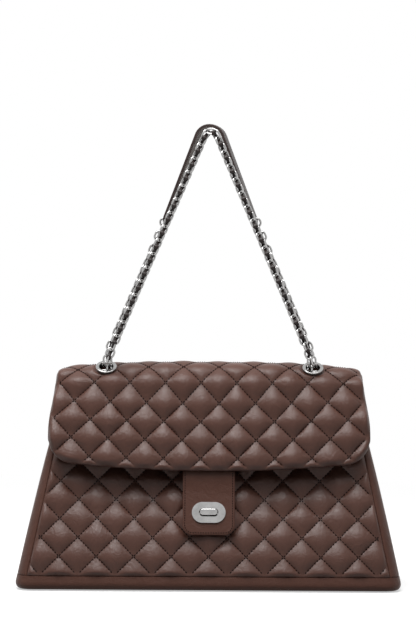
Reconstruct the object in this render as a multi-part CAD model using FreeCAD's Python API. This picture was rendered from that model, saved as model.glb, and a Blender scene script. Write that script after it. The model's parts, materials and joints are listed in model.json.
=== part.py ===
"""Quilted leather shoulder bag on a doubled chain strap.

Millimetres, +Z up, -Y to the front, +X to the wearer's left.  The origin is the middle of the
shoulder pad's inner face at the top of the strap, where a shoulder or a hook bears the bag.
The strap is two strands: a plain laced chain in front, and behind it a laced chain whose
middle is a leather shoulder pad.  Both end on one wire loop in each eyelet of the ridge.
"""

import FreeCAD
import Part
import math
import os

V = FreeCAD.Vector

# Bag body
RIDGE_DROP = 286.0
BAG_HEIGHT = 268.0
RIDGE_RADIUS = 36.0
FRONT_SLOPE = 17.0
BACK_SLOPE = 6.0
RIM_DROP = 48.0
FRONT_RIM_DROP = 62.0
RIM_HALF_WIDTH = 181.0
BASE_HALF_WIDTH = 228.0
CORNER_RADIUS = 22.0
LEATHER = 1.2
WADDING = 3.8
BASE_THICKNESS = 4.0
BASE_CHAMFER = 9.0
INNER_CHAMFER_SHARE = 0.7
BASE_WRAP = 16.0
SEAM_INSET = 12.0
LINING_THICKNESS = 1.0
BOARD_THICKNESS = 2.5
BOARD_MARGIN = 3.0
FACING_HEIGHT = 26.0
FACING_THICKNESS = 1.2

# Flap, its fold and its closing tab
FLAP_DROP = 128.0
FLAP_TOP_HALF_WIDTH = 183.0
FLAP_BOTTOM_HALF_WIDTH = 191.0
FLAP_CORNER_RADIUS = 34.0
FLAP_BOW = 8.0
FLAP_LINING = 1.6
FOLD_ANGLE = 60.0
PANEL_GAP = 9.0
TAB_WIDTH = 62.0
TAB_THICKNESS = 2.4
TAB_OVERLAP = 38.0
TAB_REACH = 76.0
TAB_CORNER_RADIUS = 12.0

# Quilting on the flat faces of the flap, front and back
QUILT_ACROSS = 44.4
QUILT_DOWN = 45.0
QUILT_RISE = 4.2
QUILT_GROOVE = 1.4
QUILT_MARGIN = 7.0
SHOULDER_SHARE = 0.6
SHOULDER_RISE_SHARE = 0.78
SMALLEST_PUFF_SHARE = 0.12
FLAP_QUILT_SHIFT = 10.3
FLAP_QUILT_LIFT = 12.5
PANEL_QUILT_DROP = 83.2

# Turn lock on the tab
LOCK_FROM_TAB_END = 27.0
PLATE_LENGTH = 40.0
PLATE_WIDTH = 25.0
PLATE_THICKNESS = 1.5
BACK_PLATE_THICKNESS = 0.8
KNOB_LENGTH = 21.0
KNOB_WIDTH = 7.6
KNOB_THICKNESS = 4.6
KNOB_STAND_OFF = 0.4
SLOT_CLEARANCE = 1.1
STEM_RADIUS = 3.0
STEM_CLEARANCE = 0.05
BOSS_RADIUS = 4.9
LOCK_BASE_LENGTH = 34.0
LOCK_BASE_WIDTH = 20.0
LOCK_BASE_THICKNESS = 1.6
PRONG_RADIUS = 1.0
PRONG_SPACING = 25.0
PRONG_CLEARANCE = 0.1
LOCK_BACKING_THICKNESS = 1.0

# Eyelets in the ridge, and the ring that hangs on a pin across each bore
EYELET_HALF_SPACING = 125.4
EYELET_ANGLE = 32.0
EYELET_FLANGE_RADIUS = 12.8
EYELET_BORE_RADIUS = 8.6
EYELET_BARREL_WALL = 1.0
EYELET_FLANGE_THICKNESS = 2.0
EYELET_SEAT_SHARE = 0.6
EYELET_HOLE_CLEARANCE = 0.15
WASHER_THICKNESS = 1.2
PIVOT_RING_RADIUS = 6.6
PIVOT_RING_SINK = 3.0
PIVOT_RING_SHIFT = 1.5
PIN_RADIUS = 1.6

# Chain, lace and shoulder pad
WIRE = 2.4
LINK_PITCH = 9.0
LINK_SLACK = 0.5
LINK_WIDTH = 12.0
LINK_TILT = 45.0
TILT_RAMP_LINKS = 4
FRONT_LINKS = 71
REAR_LINKS_PER_SIDE = 20
STRAND_SPLAY = 30.0
ELBOW_LEAN = 25.0
LEG_LEAN = 15.0
FRONT_TOP_OFFSET = 7.5
REAR_TOP_OFFSET = 10.5
FRONT_APEX_DROP = 4.6
FRONT_APEX_RADIUS = 7.0
LACE_RADIUS = 1.35
LACE_SWING = 4.6
PAD_INNER_RADIUS = 15.0
PAD_LEATHER = 1.7
PAD_LINING = 1.7
PAD_WIDTH = 22.0
PAD_LIMB_ANGLE = 20.6
PAD_LIMB_LENGTH = 114.0
PAD_TWIST = 12.0
PAD_RING_RADIUS = 5.5
PAD_RING_HOLE_RADIUS = 2.0

# Small clearances, and the overrun of every cutting tool
FIT_GAP = 0.3
TOUCH_GAP = 0.1
OVERRUN = 20.0

# Places worked out from the sizes above
WALL = LEATHER + WADDING
FLAP_THICKNESS = LEATHER + WADDING + FLAP_LINING
RIDGE_Z = -RIDGE_DROP
RIDGE_CENTRE_Z = RIDGE_Z - RIDGE_RADIUS
BASE_Z = RIDGE_Z - BAG_HEIGHT
RIM_Z = RIDGE_Z - RIM_DROP
FRONT_RIM_Z = RIDGE_Z - FRONT_RIM_DROP
FRONT_TANGENT = 90.0 - FRONT_SLOPE
BACK_TANGENT = BACK_SLOPE - 90.0


def sin(degrees):
    return math.sin(math.radians(degrees))


def cos(degrees):
    return math.cos(math.radians(degrees))


def tan(degrees):
    return math.tan(math.radians(degrees))


def unit(vector):
    return V(vector).normalize()


def line(a, b):
    return Part.LineSegment(a, b).toShape()


def arc(a, through, b):
    return Part.Arc(a, through, b).toShape()


def prism(edges, along):
    """The closed outline of these edges, pushed along a vector."""
    return Part.Face(Part.Wire(edges)).extrude(along)


def cylinder(radius, length, start, direction):
    return Part.makeCylinder(radius, length, start, direction)


def group(solids):
    return Part.makeCompound(solids)


def ridge_point(angle, depth):
    """A point at this depth under the ridge's round top, the angle counted forwards from its crest."""
    radius = RIDGE_RADIUS - depth
    return V(0, ridge_y() - radius * sin(angle), RIDGE_CENTRE_Z + radius * cos(angle))


def ridge_y():
    """Where the ridge's round is centred, so that the middle of the shoulder pad stands at y = 0."""
    return (RIDGE_RADIUS + ring_rise()) * sin(EYELET_ANGLE) - REAR_TOP_OFFSET


def front_y(z):
    """The front panel's outer face, which runs parallel to the flap and one gap behind it."""
    tangent = ridge_point(FRONT_TANGENT, FLAP_THICKNESS + PANEL_GAP)
    return tangent.y - (tangent.z - z) * tan(FRONT_SLOPE)


def back_y(z, depth=0.0):
    tangent = ridge_point(BACK_TANGENT, depth)
    return tangent.y + (tangent.z - z) * tan(BACK_SLOPE)


def half_width(z):
    """The trapezoid of the body: it widens in a straight line from the rim to the base."""
    return BASE_HALF_WIDTH + (RIM_HALF_WIDTH - BASE_HALF_WIDTH) * (z - BASE_Z) / (RIM_Z - BASE_Z)


def on_flap(shape):
    """Carries a shape from the flap's own frame: its face is y = 0, inwards is +y, down the slope is -z."""
    shape.Placement = FreeCAD.Placement(
        ridge_point(FRONT_TANGENT, 0), FreeCAD.Rotation(V(1, 0, 0), -FRONT_SLOPE)
    )
    return shape


def on_eyelet(shape, side):
    """Carries a shape from an eyelet's frame: the ridge's face is z = 0 and +z points out of the bore."""
    place = ridge_point(EYELET_ANGLE, 0) + V(side * EYELET_HALF_SPACING, 0, 0)
    shape.Placement = FreeCAD.Placement(place, FreeCAD.Rotation(V(1, 0, 0), EYELET_ANGLE))
    return shape


def section_corners(z, inset):
    """The four corners of the body at one height, drawn in by inset on all four sides."""
    x = half_width(z) - inset
    front, back = front_y(z) + inset, back_y(z) - inset
    return [V(-x, front, z), V(x, front, z), V(x, back, z), V(-x, back, z)]


def closed_polygon(points):
    return Part.Face(Part.makePolygon(points + points[:1]))


def body_form(inset, lift, top, chamfer):
    """The solid inside the body's outer face drawn in by inset, from lift above the base up to top."""
    low = BASE_Z + lift
    bottom, upper = section_corners(low, inset), section_corners(top, inset)
    faces = [closed_polygon(bottom[::-1]), closed_polygon(upper)]
    for i in range(4):
        j = (i + 1) % 4
        faces.append(closed_polygon([bottom[i], bottom[j], upper[j], upper[i]]))
    form = Part.Solid(Part.Shell(faces))
    uprights = [e for e in form.Edges if e.BoundBox.ZLength > OVERRUN]
    form = form.makeFillet(CORNER_RADIUS - min(inset, CORNER_RADIUS / 2), uprights)
    floor = [e for e in form.Edges if e.BoundBox.ZMax < low + TOUCH_GAP]
    return form.makeChamfer(chamfer, floor)


def seam_block():
    """Everything between the two side seams, which run parallel to the body's sloping sides."""
    low, high = BASE_Z - OVERRUN, RIM_Z + OVERRUN
    wide, narrow = half_width(low) - SEAM_INSET, half_width(high) - SEAM_INSET
    y = -BASE_HALF_WIDTH
    corners = [V(-wide, y, low), V(wide, y, low), V(narrow, y, high), V(-narrow, y, high)]
    edges = [line(corners[i], corners[(i + 1) % 4]) for i in range(4)]
    return prism(edges, V(0, 2 * BASE_HALF_WIDTH, 0))


def slab(low, high):
    """A block wider than the bag between two heights."""
    side = 4 * BASE_HALF_WIDTH
    return Part.makeBox(side, side, high - low, V(-side / 2, -side / 2, low))


def front_and_back(layer):
    """Splits one layer of the wall between the seams into its front and back solids."""
    solids = sorted(layer.common(seam_block()).Solids, key=lambda s: s.CenterOfMass.y)
    return solids[0].cut(slab(FRONT_RIM_Z, RIM_Z + OVERRUN)), solids[-1]


def lock_prongs(radius, start, end):
    """The two prongs that hold the lock's base, or the holes for them, in the flap's frame."""
    return group(
        [
            cylinder(radius, end - start, V(s * PRONG_SPACING / 2, start, lock_drop()), V(0, 1, 0))
            for s in (-1, 1)
        ]
    )


def prong_holes():
    start, end = panel_depth() - OVERRUN, panel_depth() + WALL + OVERRUN
    return lock_prongs(PRONG_RADIUS + PRONG_CLEARANCE, start, end)


def panel_depth():
    """How far the front panel's face lies behind the flap's face."""
    return FLAP_THICKNESS + PANEL_GAP


def flap_length():
    """The flap's length down its slope from the ridge's round to its lowest point."""
    return (ridge_point(FRONT_TANGENT, 0).z - (RIDGE_Z - FLAP_DROP)) / cos(FRONT_SLOPE)


def lock_drop():
    return LOCK_FROM_TAB_END - flap_length() - TAB_REACH


def slope_plane(origin, side, slope):
    """A flat face of the bag: its origin, the way up its slope and the way out; side -1 is the front."""
    return origin, V(0, -side * sin(slope), cos(slope)), V(0, side * cos(slope), sin(slope))


def polygon_area(points):
    """The area of an anticlockwise polygon."""
    return sum(a.x * b.y - a.y * b.x for a, b in zip(points, points[1:] + points[:1])) / 2


def clipped(polygon, area):
    """The part of a convex polygon inside a convex area, both anticlockwise."""
    for a, b in zip(area, area[1:] + area[:1]):
        inward = V(a.y - b.y, b.x - a.x, 0)
        inside = [(p - a).dot(inward) for p in polygon]
        kept = []
        for i, p in enumerate(polygon):
            j = (i + 1) % len(polygon)
            if inside[i] > 0:
                kept.append(p)
            if inside[i] * inside[j] < 0:
                kept.append(p + (polygon[j] - p) * (inside[i] / (inside[i] - inside[j])))
        polygon = kept
    return polygon


def diamonds(area, crossing):
    """The quilting's diamonds about a crossing of two seams, cut to an area of the face."""
    x, y = QUILT_ACROSS / 2, QUILT_DOWN / 2
    columns = [int((p.x - crossing.x) / x) for p in area]
    rows = [int((p.y - crossing.y) / y) for p in area]
    whole = QUILT_ACROSS * QUILT_DOWN / 2
    found = []
    for i in range(min(columns) - 1, max(columns) + 2):
        for j in range(min(rows) - 1, max(rows) + 2):
            middle = crossing + V(i * x, j * y, 0)
            wide, tall = V(x - QUILT_GROOVE, 0, 0), V(0, y - QUILT_GROOVE, 0)
            diamond = clipped([middle + wide, middle + tall, middle - wide, middle - tall], area)
            if (i + j) % 2 == 1 and polygon_area(diamond) > SMALLEST_PUFF_SHARE * whole:
                found.append(diamond)
    return found


def puff(polygon, plane, lift):
    """A low mound over a polygon of a flat face: steep up to its shoulder, then nearly flat to its top."""
    origin, up, out = plane
    count = len(polygon)
    centre = sum(polygon, V(0, 0, 0)) / count
    rise = QUILT_RISE * math.sqrt(polygon_area(polygon) / (QUILT_ACROSS * QUILT_DOWN / 2))

    def place(p, height):
        return origin + V(p.x, 0, 0) + up * p.y + out * (lift + height)

    foot = [place(p, 0) for p in polygon]
    shoulder = [place(centre + (p - centre) * SHOULDER_SHARE, rise * SHOULDER_RISE_SHARE) for p in polygon]
    top = place(centre, rise)
    faces = [closed_polygon(foot[::-1])]
    for i in range(count):
        j = (i + 1) % count
        faces.append(closed_polygon([foot[i], foot[j], shoulder[j], shoulder[i]]))
        faces.append(closed_polygon([shoulder[i], shoulder[j], top]))
    return Part.Solid(Part.Shell(faces))


def quilted(leather, wadding, plane, polygons):
    """Raises the leather into puffs of its own thickness, with the wadding filling them."""
    outer = group([puff(p, plane, 0) for p in polygons])
    inner = group([puff(p, plane, -LEATHER) for p in polygons])
    return leather.fuse(outer).cut(inner), wadding.fuse(inner)


def panel_quilt(plane, slope):
    """The diamonds of the front or back, on its flat between the round corners."""
    rim = plane[0].z
    low, high = BASE_Z + BASE_WRAP + QUILT_MARGIN, rim - QUILT_MARGIN
    narrow, wide = [half_width(z) - CORNER_RADIUS for z in (high, low)]
    top, bottom = [(z - rim) / cos(slope) for z in (high, low)]
    area = [V(-narrow, top, 0), V(-wide, bottom, 0), V(wide, bottom, 0), V(narrow, top, 0)]
    return diamonds(area, V(0, -PANEL_QUILT_DROP, 0))


def clear_of_lock(polygons):
    """Leaves out the diamonds of the front that the lock's base lies on."""
    x, y = [size / 2 + QUILT_GROOVE for size in (LOCK_BASE_LENGTH, LOCK_BASE_WIDTH)]
    drop = on_flap(Part.Vertex(V(0, panel_depth(), lock_drop()))).Point.z - FRONT_RIM_Z
    middle = V(0, drop / cos(FRONT_SLOPE), 0)
    base = [middle + V(i * x, j * y, 0) for i, j in ((-1, -1), (1, -1), (1, 1), (-1, 1))]
    return [p for p in polygons if not clipped(p, base)]


def flap_quilt():
    """The diamonds of the flap below the ridge's round, inside its outline by one margin."""
    origin = ridge_point(FRONT_TANGENT, 0)
    bottom = RIDGE_Z - FLAP_DROP
    x, r = FLAP_BOTTOM_HALF_WIDTH - FLAP_CORNER_RADIUS, FLAP_CORNER_RADIUS - QUILT_MARGIN
    z = bottom + FLAP_BOW + FLAP_CORNER_RADIUS
    outline = [
        V(FLAP_TOP_HALF_WIDTH - QUILT_MARGIN, origin.z - QUILT_MARGIN, 0),
        V(x + r, z, 0),
        V(x + r * cos(45), z - r * sin(45), 0),
        V(x, z - r, 0),
    ]
    right = [V(p.x, (p.y - origin.z) / cos(FRONT_SLOPE), 0) for p in outline]
    lowest = V(0, (bottom + QUILT_MARGIN - origin.z) / cos(FRONT_SLOPE), 0)
    area = [mirrored(p) for p in right] + [lowest] + right[::-1]
    return diamonds(area, V(-FLAP_QUILT_SHIFT, FLAP_QUILT_LIFT - flap_length(), 0))


def body_walls():
    """Front, back, gussets and base, cut from one shell along the seams."""
    inner_chamfer = BASE_CHAMFER * INNER_CHAMFER_SHARE
    outer = body_form(0, 0, RIM_Z, BASE_CHAMFER)
    under_leather = body_form(LEATHER, LEATHER, RIM_Z + OVERRUN, inner_chamfer)
    inner = body_form(WALL, BASE_THICKNESS, RIM_Z + OVERRUN, inner_chamfer)
    base_top = BASE_Z + BASE_WRAP
    upper = slab(base_top, RIM_Z + OVERRUN)
    shell = outer.cut(inner)
    gussets = sorted(shell.common(upper).cut(seam_block()).Solids, key=lambda s: s.CenterOfMass.x)
    face, back_face = front_and_back(outer.cut(under_leather).common(upper))
    fill, back_fill = front_and_back(under_leather.cut(inner).common(upper).common(slab(BASE_Z, RIM_Z)))
    holes = on_flap(prong_holes())
    pocket = on_flap(lock_backing_blank(TOUCH_GAP, OVERRUN))
    front = slope_plane(V(0, front_y(FRONT_RIM_Z), FRONT_RIM_Z), -1, FRONT_SLOPE)
    back = slope_plane(V(0, back_y(RIM_Z), RIM_Z), 1, BACK_SLOPE)
    face, fill = quilted(face, fill, front, clear_of_lock(panel_quilt(front, FRONT_SLOPE)))
    back_face, back_fill = quilted(back_face, back_fill, back, panel_quilt(back, BACK_SLOPE))
    return {
        "front_panel": face.cut(holes),
        "front_wadding": fill.cut(holes).cut(pocket),
        "back_panel": back_face,
        "back_wadding": back_fill,
        "right_gusset": gussets[0],
        "left_gusset": gussets[-1],
        "base_panel": shell.common(slab(BASE_Z - OVERRUN, base_top)),
    }


def lining_bag():
    """The cloth bag inside the walls, standing on the stiff board that keeps the base flat."""
    inset = WALL + FIT_GAP
    lift = BASE_THICKNESS + BOARD_THICKNESS + FIT_GAP
    chamfer = BASE_CHAMFER * INNER_CHAMFER_SHARE
    over = FRONT_RIM_Z + OVERRUN
    outer = body_form(inset, lift, FRONT_RIM_Z, chamfer)
    inner = body_form(inset + LINING_THICKNESS, lift + LINING_THICKNESS, over, chamfer)
    facing_inset = inset + LINING_THICKNESS
    facing_inner = body_form(facing_inset + FACING_THICKNESS, lift, over, chamfer)
    facing_block = slab(FRONT_RIM_Z - FACING_HEIGHT, FRONT_RIM_Z)
    facing = body_form(facing_inset, lift, FRONT_RIM_Z, chamfer).common(facing_block).cut(facing_inner)
    return {"lining_bag": outer.cut(inner), "mouth_facing": facing, "base_board": base_board()}


def base_board():
    margin = WALL + BOARD_MARGIN + BASE_CHAMFER * INNER_CHAMFER_SHARE
    outline = section_corners(BASE_Z + BASE_THICKNESS, margin)
    board = closed_polygon(outline).extrude(V(0, 0, BOARD_THICKNESS))
    uprights = [e for e in board.Edges if e.BoundBox.ZLength > BOARD_THICKNESS / 2]
    return board.makeFillet(CORNER_RADIUS / 2, uprights)


def ridge_layer(near, far):
    """One layer of the ridge: up the back from the rim and round the top as far as the fold."""
    rear = [V(0, back_y(RIM_Z, near), RIM_Z), ridge_point(BACK_TANGENT, near)]
    fore = [ridge_point(BACK_TANGENT, far), V(0, back_y(RIM_Z, far), RIM_Z)]
    middle = (BACK_TANGENT + FOLD_ANGLE) / 2
    edges = [
        line(*rear),
        arc(rear[1], ridge_point(middle, near), ridge_point(FOLD_ANGLE, near)),
        line(ridge_point(FOLD_ANGLE, near), ridge_point(FOLD_ANGLE, far)),
        arc(ridge_point(FOLD_ANGLE, far), ridge_point(middle, far), fore[0]),
        line(*fore),
        line(fore[1], rear[0]),
    ]
    layer = prism(edges, V(2 * FLAP_TOP_HALF_WIDTH, 0, 0))
    layer.translate(V(-FLAP_TOP_HALF_WIDTH, 0, 0))
    return layer


def flap_layer(near, far):
    """One layer of the flap: the rest of the ridge's round and the straight slope below it."""
    start = FOLD_ANGLE + math.degrees(FIT_GAP / RIDGE_RADIUS)
    middle = (start + FRONT_TANGENT) / 2
    down = V(0, -sin(FRONT_SLOPE), -cos(FRONT_SLOPE)) * (flap_length() + OVERRUN)
    outer, inner = ridge_point(FRONT_TANGENT, near), ridge_point(FRONT_TANGENT, far)
    edges = [
        arc(ridge_point(start, near), ridge_point(middle, near), outer),
        line(outer, outer + down),
        line(outer + down, inner + down),
        line(inner + down, inner),
        arc(inner, ridge_point(middle, far), ridge_point(start, far)),
        line(ridge_point(start, far), ridge_point(start, near)),
    ]
    layer = prism(edges, V(2 * FLAP_BOTTOM_HALF_WIDTH, 0, 0))
    layer.translate(V(-FLAP_BOTTOM_HALF_WIDTH, 0, 0))
    return layer.common(flap_outline())


def flap_outline():
    """The flap seen from the front: sides that spread, round lower corners and a bowed lower edge."""
    top, bottom = RIDGE_Z, RIDGE_Z - FLAP_DROP
    r = FLAP_CORNER_RADIUS
    x = FLAP_BOTTOM_HALF_WIDTH
    corner = bottom + FLAP_BOW
    s = r * (1 - math.sqrt(0.5))
    y = -BASE_HALF_WIDTH
    edges = [
        line(V(-FLAP_TOP_HALF_WIDTH, y, top), V(FLAP_TOP_HALF_WIDTH, y, top)),
        line(V(FLAP_TOP_HALF_WIDTH, y, top), V(x, y, corner + r)),
        arc(V(x, y, corner + r), V(x - s, y, corner + s), V(x - r, y, corner)),
        arc(V(x - r, y, corner), V(0, y, bottom), V(-x + r, y, corner)),
        arc(V(-x + r, y, corner), V(-x + s, y, corner + s), V(-x, y, corner + r)),
        line(V(-x, y, corner + r), V(-FLAP_TOP_HALF_WIDTH, y, top)),
    ]
    return prism(edges, V(0, BASE_HALF_WIDTH, 0))


def eyelet_cutter(side, seat):
    """The round hole through the ridge for one eyelet, with a flat seat under its flange."""
    hole = cylinder(barrel_radius() + EYELET_HOLE_CLEARANCE, 2 * OVERRUN, V(0, 0, -OVERRUN), V(0, 0, 1))
    flat = cylinder(EYELET_FLANGE_RADIUS + EYELET_HOLE_CLEARANCE, OVERRUN, V(0, 0, -seat), V(0, 0, 1))
    return on_eyelet(hole.fuse(flat), side)


def barrel_radius():
    return EYELET_BORE_RADIUS + EYELET_BARREL_WALL


def eyelet_seat():
    """How far the leather is pressed flat under the eyelet's flange."""
    sag = RIDGE_RADIUS - math.sqrt(RIDGE_RADIUS**2 - EYELET_FLANGE_RADIUS**2)
    return sag * EYELET_SEAT_SHARE


def washer_depth():
    """Where a flat washer meets the hollow side of the ridge."""
    inner = RIDGE_RADIUS - FLAP_THICKNESS
    return RIDGE_RADIUS - math.sqrt(inner**2 - EYELET_FLANGE_RADIUS**2) + TOUCH_GAP


def barrel_end():
    return washer_depth() + WASHER_THICKNESS


def ring_rise():
    """The pivot ring's centre above the ridge's face, on the eyelet's axis: the strap turns about it."""
    return EYELET_FLANGE_THICKNESS - eyelet_seat() - PIVOT_RING_SINK


def pin_rise():
    """The pin across the bore, which the pivot ring hangs on by the inside of its wire."""
    return ring_rise() - PIVOT_RING_RADIUS + WIRE / 2 + TOUCH_GAP + PIN_RADIUS


def ridge_and_flap():
    layers = {"leather": (0, LEATHER), "wadding": (LEATHER, WALL), "lining": (WALL, FLAP_THICKNESS)}
    parts = {}
    for name, (near, far) in layers.items():
        ridge = ridge_layer(near, far)
        for side in (-1, 1):
            ridge = ridge.cut(eyelet_cutter(side, eyelet_seat()))
        parts["ridge_" + name] = ridge
        parts["flap_" + name] = flap_layer(near, far)
    plane = slope_plane(ridge_point(FRONT_TANGENT, 0), -1, FRONT_SLOPE)
    leather, wadding = quilted(parts["flap_leather"], parts["flap_wadding"], plane, flap_quilt())
    return {**parts, "flap_leather": leather, "flap_wadding": wadding}


def eyelet():
    """A flanged barrel with a rolled rim, drilled across for its pin."""
    low = -eyelet_seat()
    high = low + EYELET_FLANGE_THICKNESS
    foot = -barrel_end()
    inner, wall, rim = EYELET_BORE_RADIUS, barrel_radius(), EYELET_FLANGE_RADIUS
    roll = EYELET_FLANGE_THICKNESS / 2
    s = roll * (1 - math.sqrt(0.5))
    edges = [
        line(V(inner, 0, foot), V(wall, 0, foot)),
        line(V(wall, 0, foot), V(wall, 0, low)),
        line(V(wall, 0, low), V(rim - roll, 0, low)),
        arc(V(rim - roll, 0, low), V(rim, 0, low + roll), V(rim - roll, 0, high)),
        line(V(rim - roll, 0, high), V(inner + roll, 0, high)),
        arc(V(inner + roll, 0, high), V(inner + s, 0, high - s), V(inner, 0, high - roll)),
        line(V(inner, 0, high - roll), V(inner, 0, foot)),
    ]
    barrel = Part.Face(Part.Wire(edges)).revolve(V(0, 0, 0), V(0, 0, 1), 360)
    return barrel.cut(eyelet_pin(PIN_RADIUS + TOUCH_GAP, rim))


def eyelet_washer():
    bottom = V(0, 0, -barrel_end())
    disc = cylinder(EYELET_FLANGE_RADIUS, WASHER_THICKNESS, bottom, V(0, 0, 1))
    hole = cylinder(barrel_radius() + TOUCH_GAP, 2 * OVERRUN, bottom - V(0, 0, OVERRUN), V(0, 0, 1))
    return disc.cut(hole)


def eyelet_pin(radius, half_length):
    return cylinder(radius, 2 * half_length, V(-half_length, 0, pin_rise()), V(1, 0, 0))


def tube(edges, radius):
    """A round bar of this radius along a smooth path of lines and arcs."""
    path = Part.Wire(edges)
    start = path.OrderedEdges[0]
    tangent = start.tangentAt(start.FirstParameter)
    if path.OrderedEdges[0].Orientation == "Reversed":
        tangent = start.tangentAt(start.LastParameter) * -1
    circle = Part.Wire(Part.makeCircle(radius, path.OrderedVertexes[0].Point, tangent))
    return path.makePipeShell([circle], True, False)


def eyelets():
    parts = {}
    for side, name in ((-1, "right"), (1, "left")):
        parts[name + "_eyelet"] = on_eyelet(eyelet(), side)
        parts[name + "_eyelet_washer"] = on_eyelet(eyelet_washer(), side)
        parts[name + "_eyelet_pin"] = on_eyelet(eyelet_pin(PIN_RADIUS, barrel_radius()), side)
    return parts


def oval(length, width, thickness, depth, drop):
    """A flat plate with round ends in the flap's frame, its front face at this depth."""
    r = width / 2
    x = length / 2 - r
    edges = [
        line(V(-x, depth, drop + r), V(x, depth, drop + r)),
        arc(V(x, depth, drop + r), V(x + r, depth, drop), V(x, depth, drop - r)),
        line(V(x, depth, drop - r), V(-x, depth, drop - r)),
        arc(V(-x, depth, drop - r), V(-x - r, depth, drop), V(-x, depth, drop + r)),
    ]
    return prism(edges, V(0, thickness, 0))


def tab_depth():
    return FLAP_THICKNESS + TOUCH_GAP


def lock_slot():
    """The oval opening through the tab and its plates that the knob passes when it lies level."""
    length, width = KNOB_LENGTH + 2 * SLOT_CLEARANCE, KNOB_WIDTH + 2 * SLOT_CLEARANCE
    return oval(length, width, 2 * OVERRUN, tab_depth() - OVERRUN, lock_drop())


def closing_tab():
    """The leather tab under the flap's edge, with a plate on each face round its slot."""
    x, r = TAB_WIDTH / 2, TAB_CORNER_RADIUS
    top = TAB_OVERLAP - flap_length()
    bottom = -flap_length() - TAB_REACH
    y = tab_depth()
    s = r * (1 - math.sqrt(0.5))
    edges = [
        line(V(-x, y, top), V(x, y, top)),
        line(V(x, y, top), V(x, y, bottom + r)),
        arc(V(x, y, bottom + r), V(x - s, y, bottom + s), V(x - r, y, bottom)),
        line(V(x - r, y, bottom), V(-x + r, y, bottom)),
        arc(V(-x + r, y, bottom), V(-x + s, y, bottom + s), V(-x, y, bottom + r)),
        line(V(-x, y, bottom + r), V(-x, y, top)),
    ]
    tab = prism(edges, V(0, TAB_THICKNESS, 0))
    plate = oval(PLATE_LENGTH, PLATE_WIDTH, PLATE_THICKNESS, y - PLATE_THICKNESS, lock_drop())
    back = oval(PLATE_LENGTH, PLATE_WIDTH, BACK_PLATE_THICKNESS, y + TAB_THICKNESS, lock_drop())
    pieces = {"closing_tab": tab, "lock_front_plate": plate, "lock_rear_plate": back}
    return {name: on_flap(piece.cut(lock_slot())) for name, piece in pieces.items()}


def lock_backing_blank(growth, reach):
    """The plate in the wadding that the prongs are bent over, or its grown pocket, open inwards."""
    depth = panel_depth() + WALL - LOCK_BACKING_THICKNESS - growth
    length, width = LOCK_BASE_LENGTH + 2 * growth, LOCK_BASE_WIDTH + 2 * growth
    return oval(length, width, LOCK_BACKING_THICKNESS + reach, depth, lock_drop())


def turn_lock():
    """The knob with its stem, and the base that holds the stem on the front panel."""
    drop = lock_drop()
    centre = V(0, 0, drop)
    into = V(0, 1, 0)
    base_face = panel_depth() - LOCK_BASE_THICKNESS
    boss_face = tab_depth() + TAB_THICKNESS + BACK_PLATE_THICKNESS + FIT_GAP
    knob_back = tab_depth() - PLATE_THICKNESS - KNOB_STAND_OFF
    stem_end = panel_depth() - TOUCH_GAP
    plate = oval(LOCK_BASE_LENGTH, LOCK_BASE_WIDTH, LOCK_BASE_THICKNESS, base_face, drop)
    boss_length = base_face - boss_face + LOCK_BASE_THICKNESS / 2
    boss = cylinder(BOSS_RADIUS, boss_length, centre + into * boss_face, into)
    bore = cylinder(STEM_RADIUS + STEM_CLEARANCE, 2 * OVERRUN, centre + into * (boss_face - OVERRUN), into)
    prongs = lock_prongs(PRONG_RADIUS, base_face, panel_depth() + WALL - TOUCH_GAP)
    base = plate.fuse(boss).cut(bore).fuse(prongs)
    knob = oval(KNOB_LENGTH, KNOB_WIDTH, KNOB_THICKNESS, knob_back - KNOB_THICKNESS, drop)
    edges = [e for e in knob.Edges if abs(e.CenterOfMass.y - (knob_back - KNOB_THICKNESS)) < TOUCH_GAP]
    knob = knob.makeFillet(KNOB_THICKNESS / 4, edges)
    stem = cylinder(STEM_RADIUS, stem_end - knob_back, centre + into * knob_back, into)
    backing = lock_backing_blank(0, 0).cut(prong_holes())
    return {
        "lock_base": on_flap(base.removeSplitter()),
        "lock_backing": on_flap(backing),
        "lock_knob": on_flap(knob.fuse(stem).removeSplitter()),
    }


def ring_centre():
    """The left pivot ring's centre: the strap's turning axis runs through it along X."""
    return ridge_point(EYELET_ANGLE, -ring_rise()) + V(EYELET_HALF_SPACING - PIVOT_RING_SHIFT, 0, 0)


def elbow(side):
    """The first three hooking points of a strand, from the pivot ring up: it leaves the ring at a splay."""
    lean = side * STRAND_SPLAY - EYELET_ANGLE
    first = V(0, sin(lean), cos(lean))
    second = unit(V(-tan(LEG_LEAN), min(side, 0) * tan(ELBOW_LEAN), 1))
    start = ring_centre() + first * (PIVOT_RING_RADIUS - WIRE / 2)
    return [start, start + first * LINK_PITCH, start + (first + second) * LINK_PITCH]


def spaced(a, b, count):
    """Points that divide the straight run from a to b into equal links, without a itself."""
    return [a + (b - a) * (i / count) for i in range(1, count + 1)]


def front_bend():
    """The plain strand's bend on the left: its centre, its lower end and the angle it turns through."""
    foot = elbow(-1)[-1]
    radius = FRONT_APEX_RADIUS
    y = ring_centre().y - FRONT_TOP_OFFSET
    centre = V(0, y, -FRONT_APEX_DROP - radius)
    dx, dz = foot.x, centre.z - foot.z
    reach = math.hypot(dx, dz)
    turn = math.pi / 2 - math.atan2(dx, dz) + math.asin(radius / reach)
    end = centre + V(radius * math.sin(turn), 0, radius * math.cos(turn))
    return centre, end, turn


def pad_end():
    """The end of the pad's centre line on the left, and the way its limb runs there."""
    radius = PAD_INNER_RADIUS + PAD_LINING
    angle = PAD_LIMB_ANGLE
    down = V(sin(angle), 0, -cos(angle))
    start = V(radius * cos(angle), 0, -PAD_INNER_RADIUS + radius * sin(angle))
    return start + down * PAD_LIMB_LENGTH, down


def mirrored(point):
    return V(-point.x, point.y, point.z)


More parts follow.
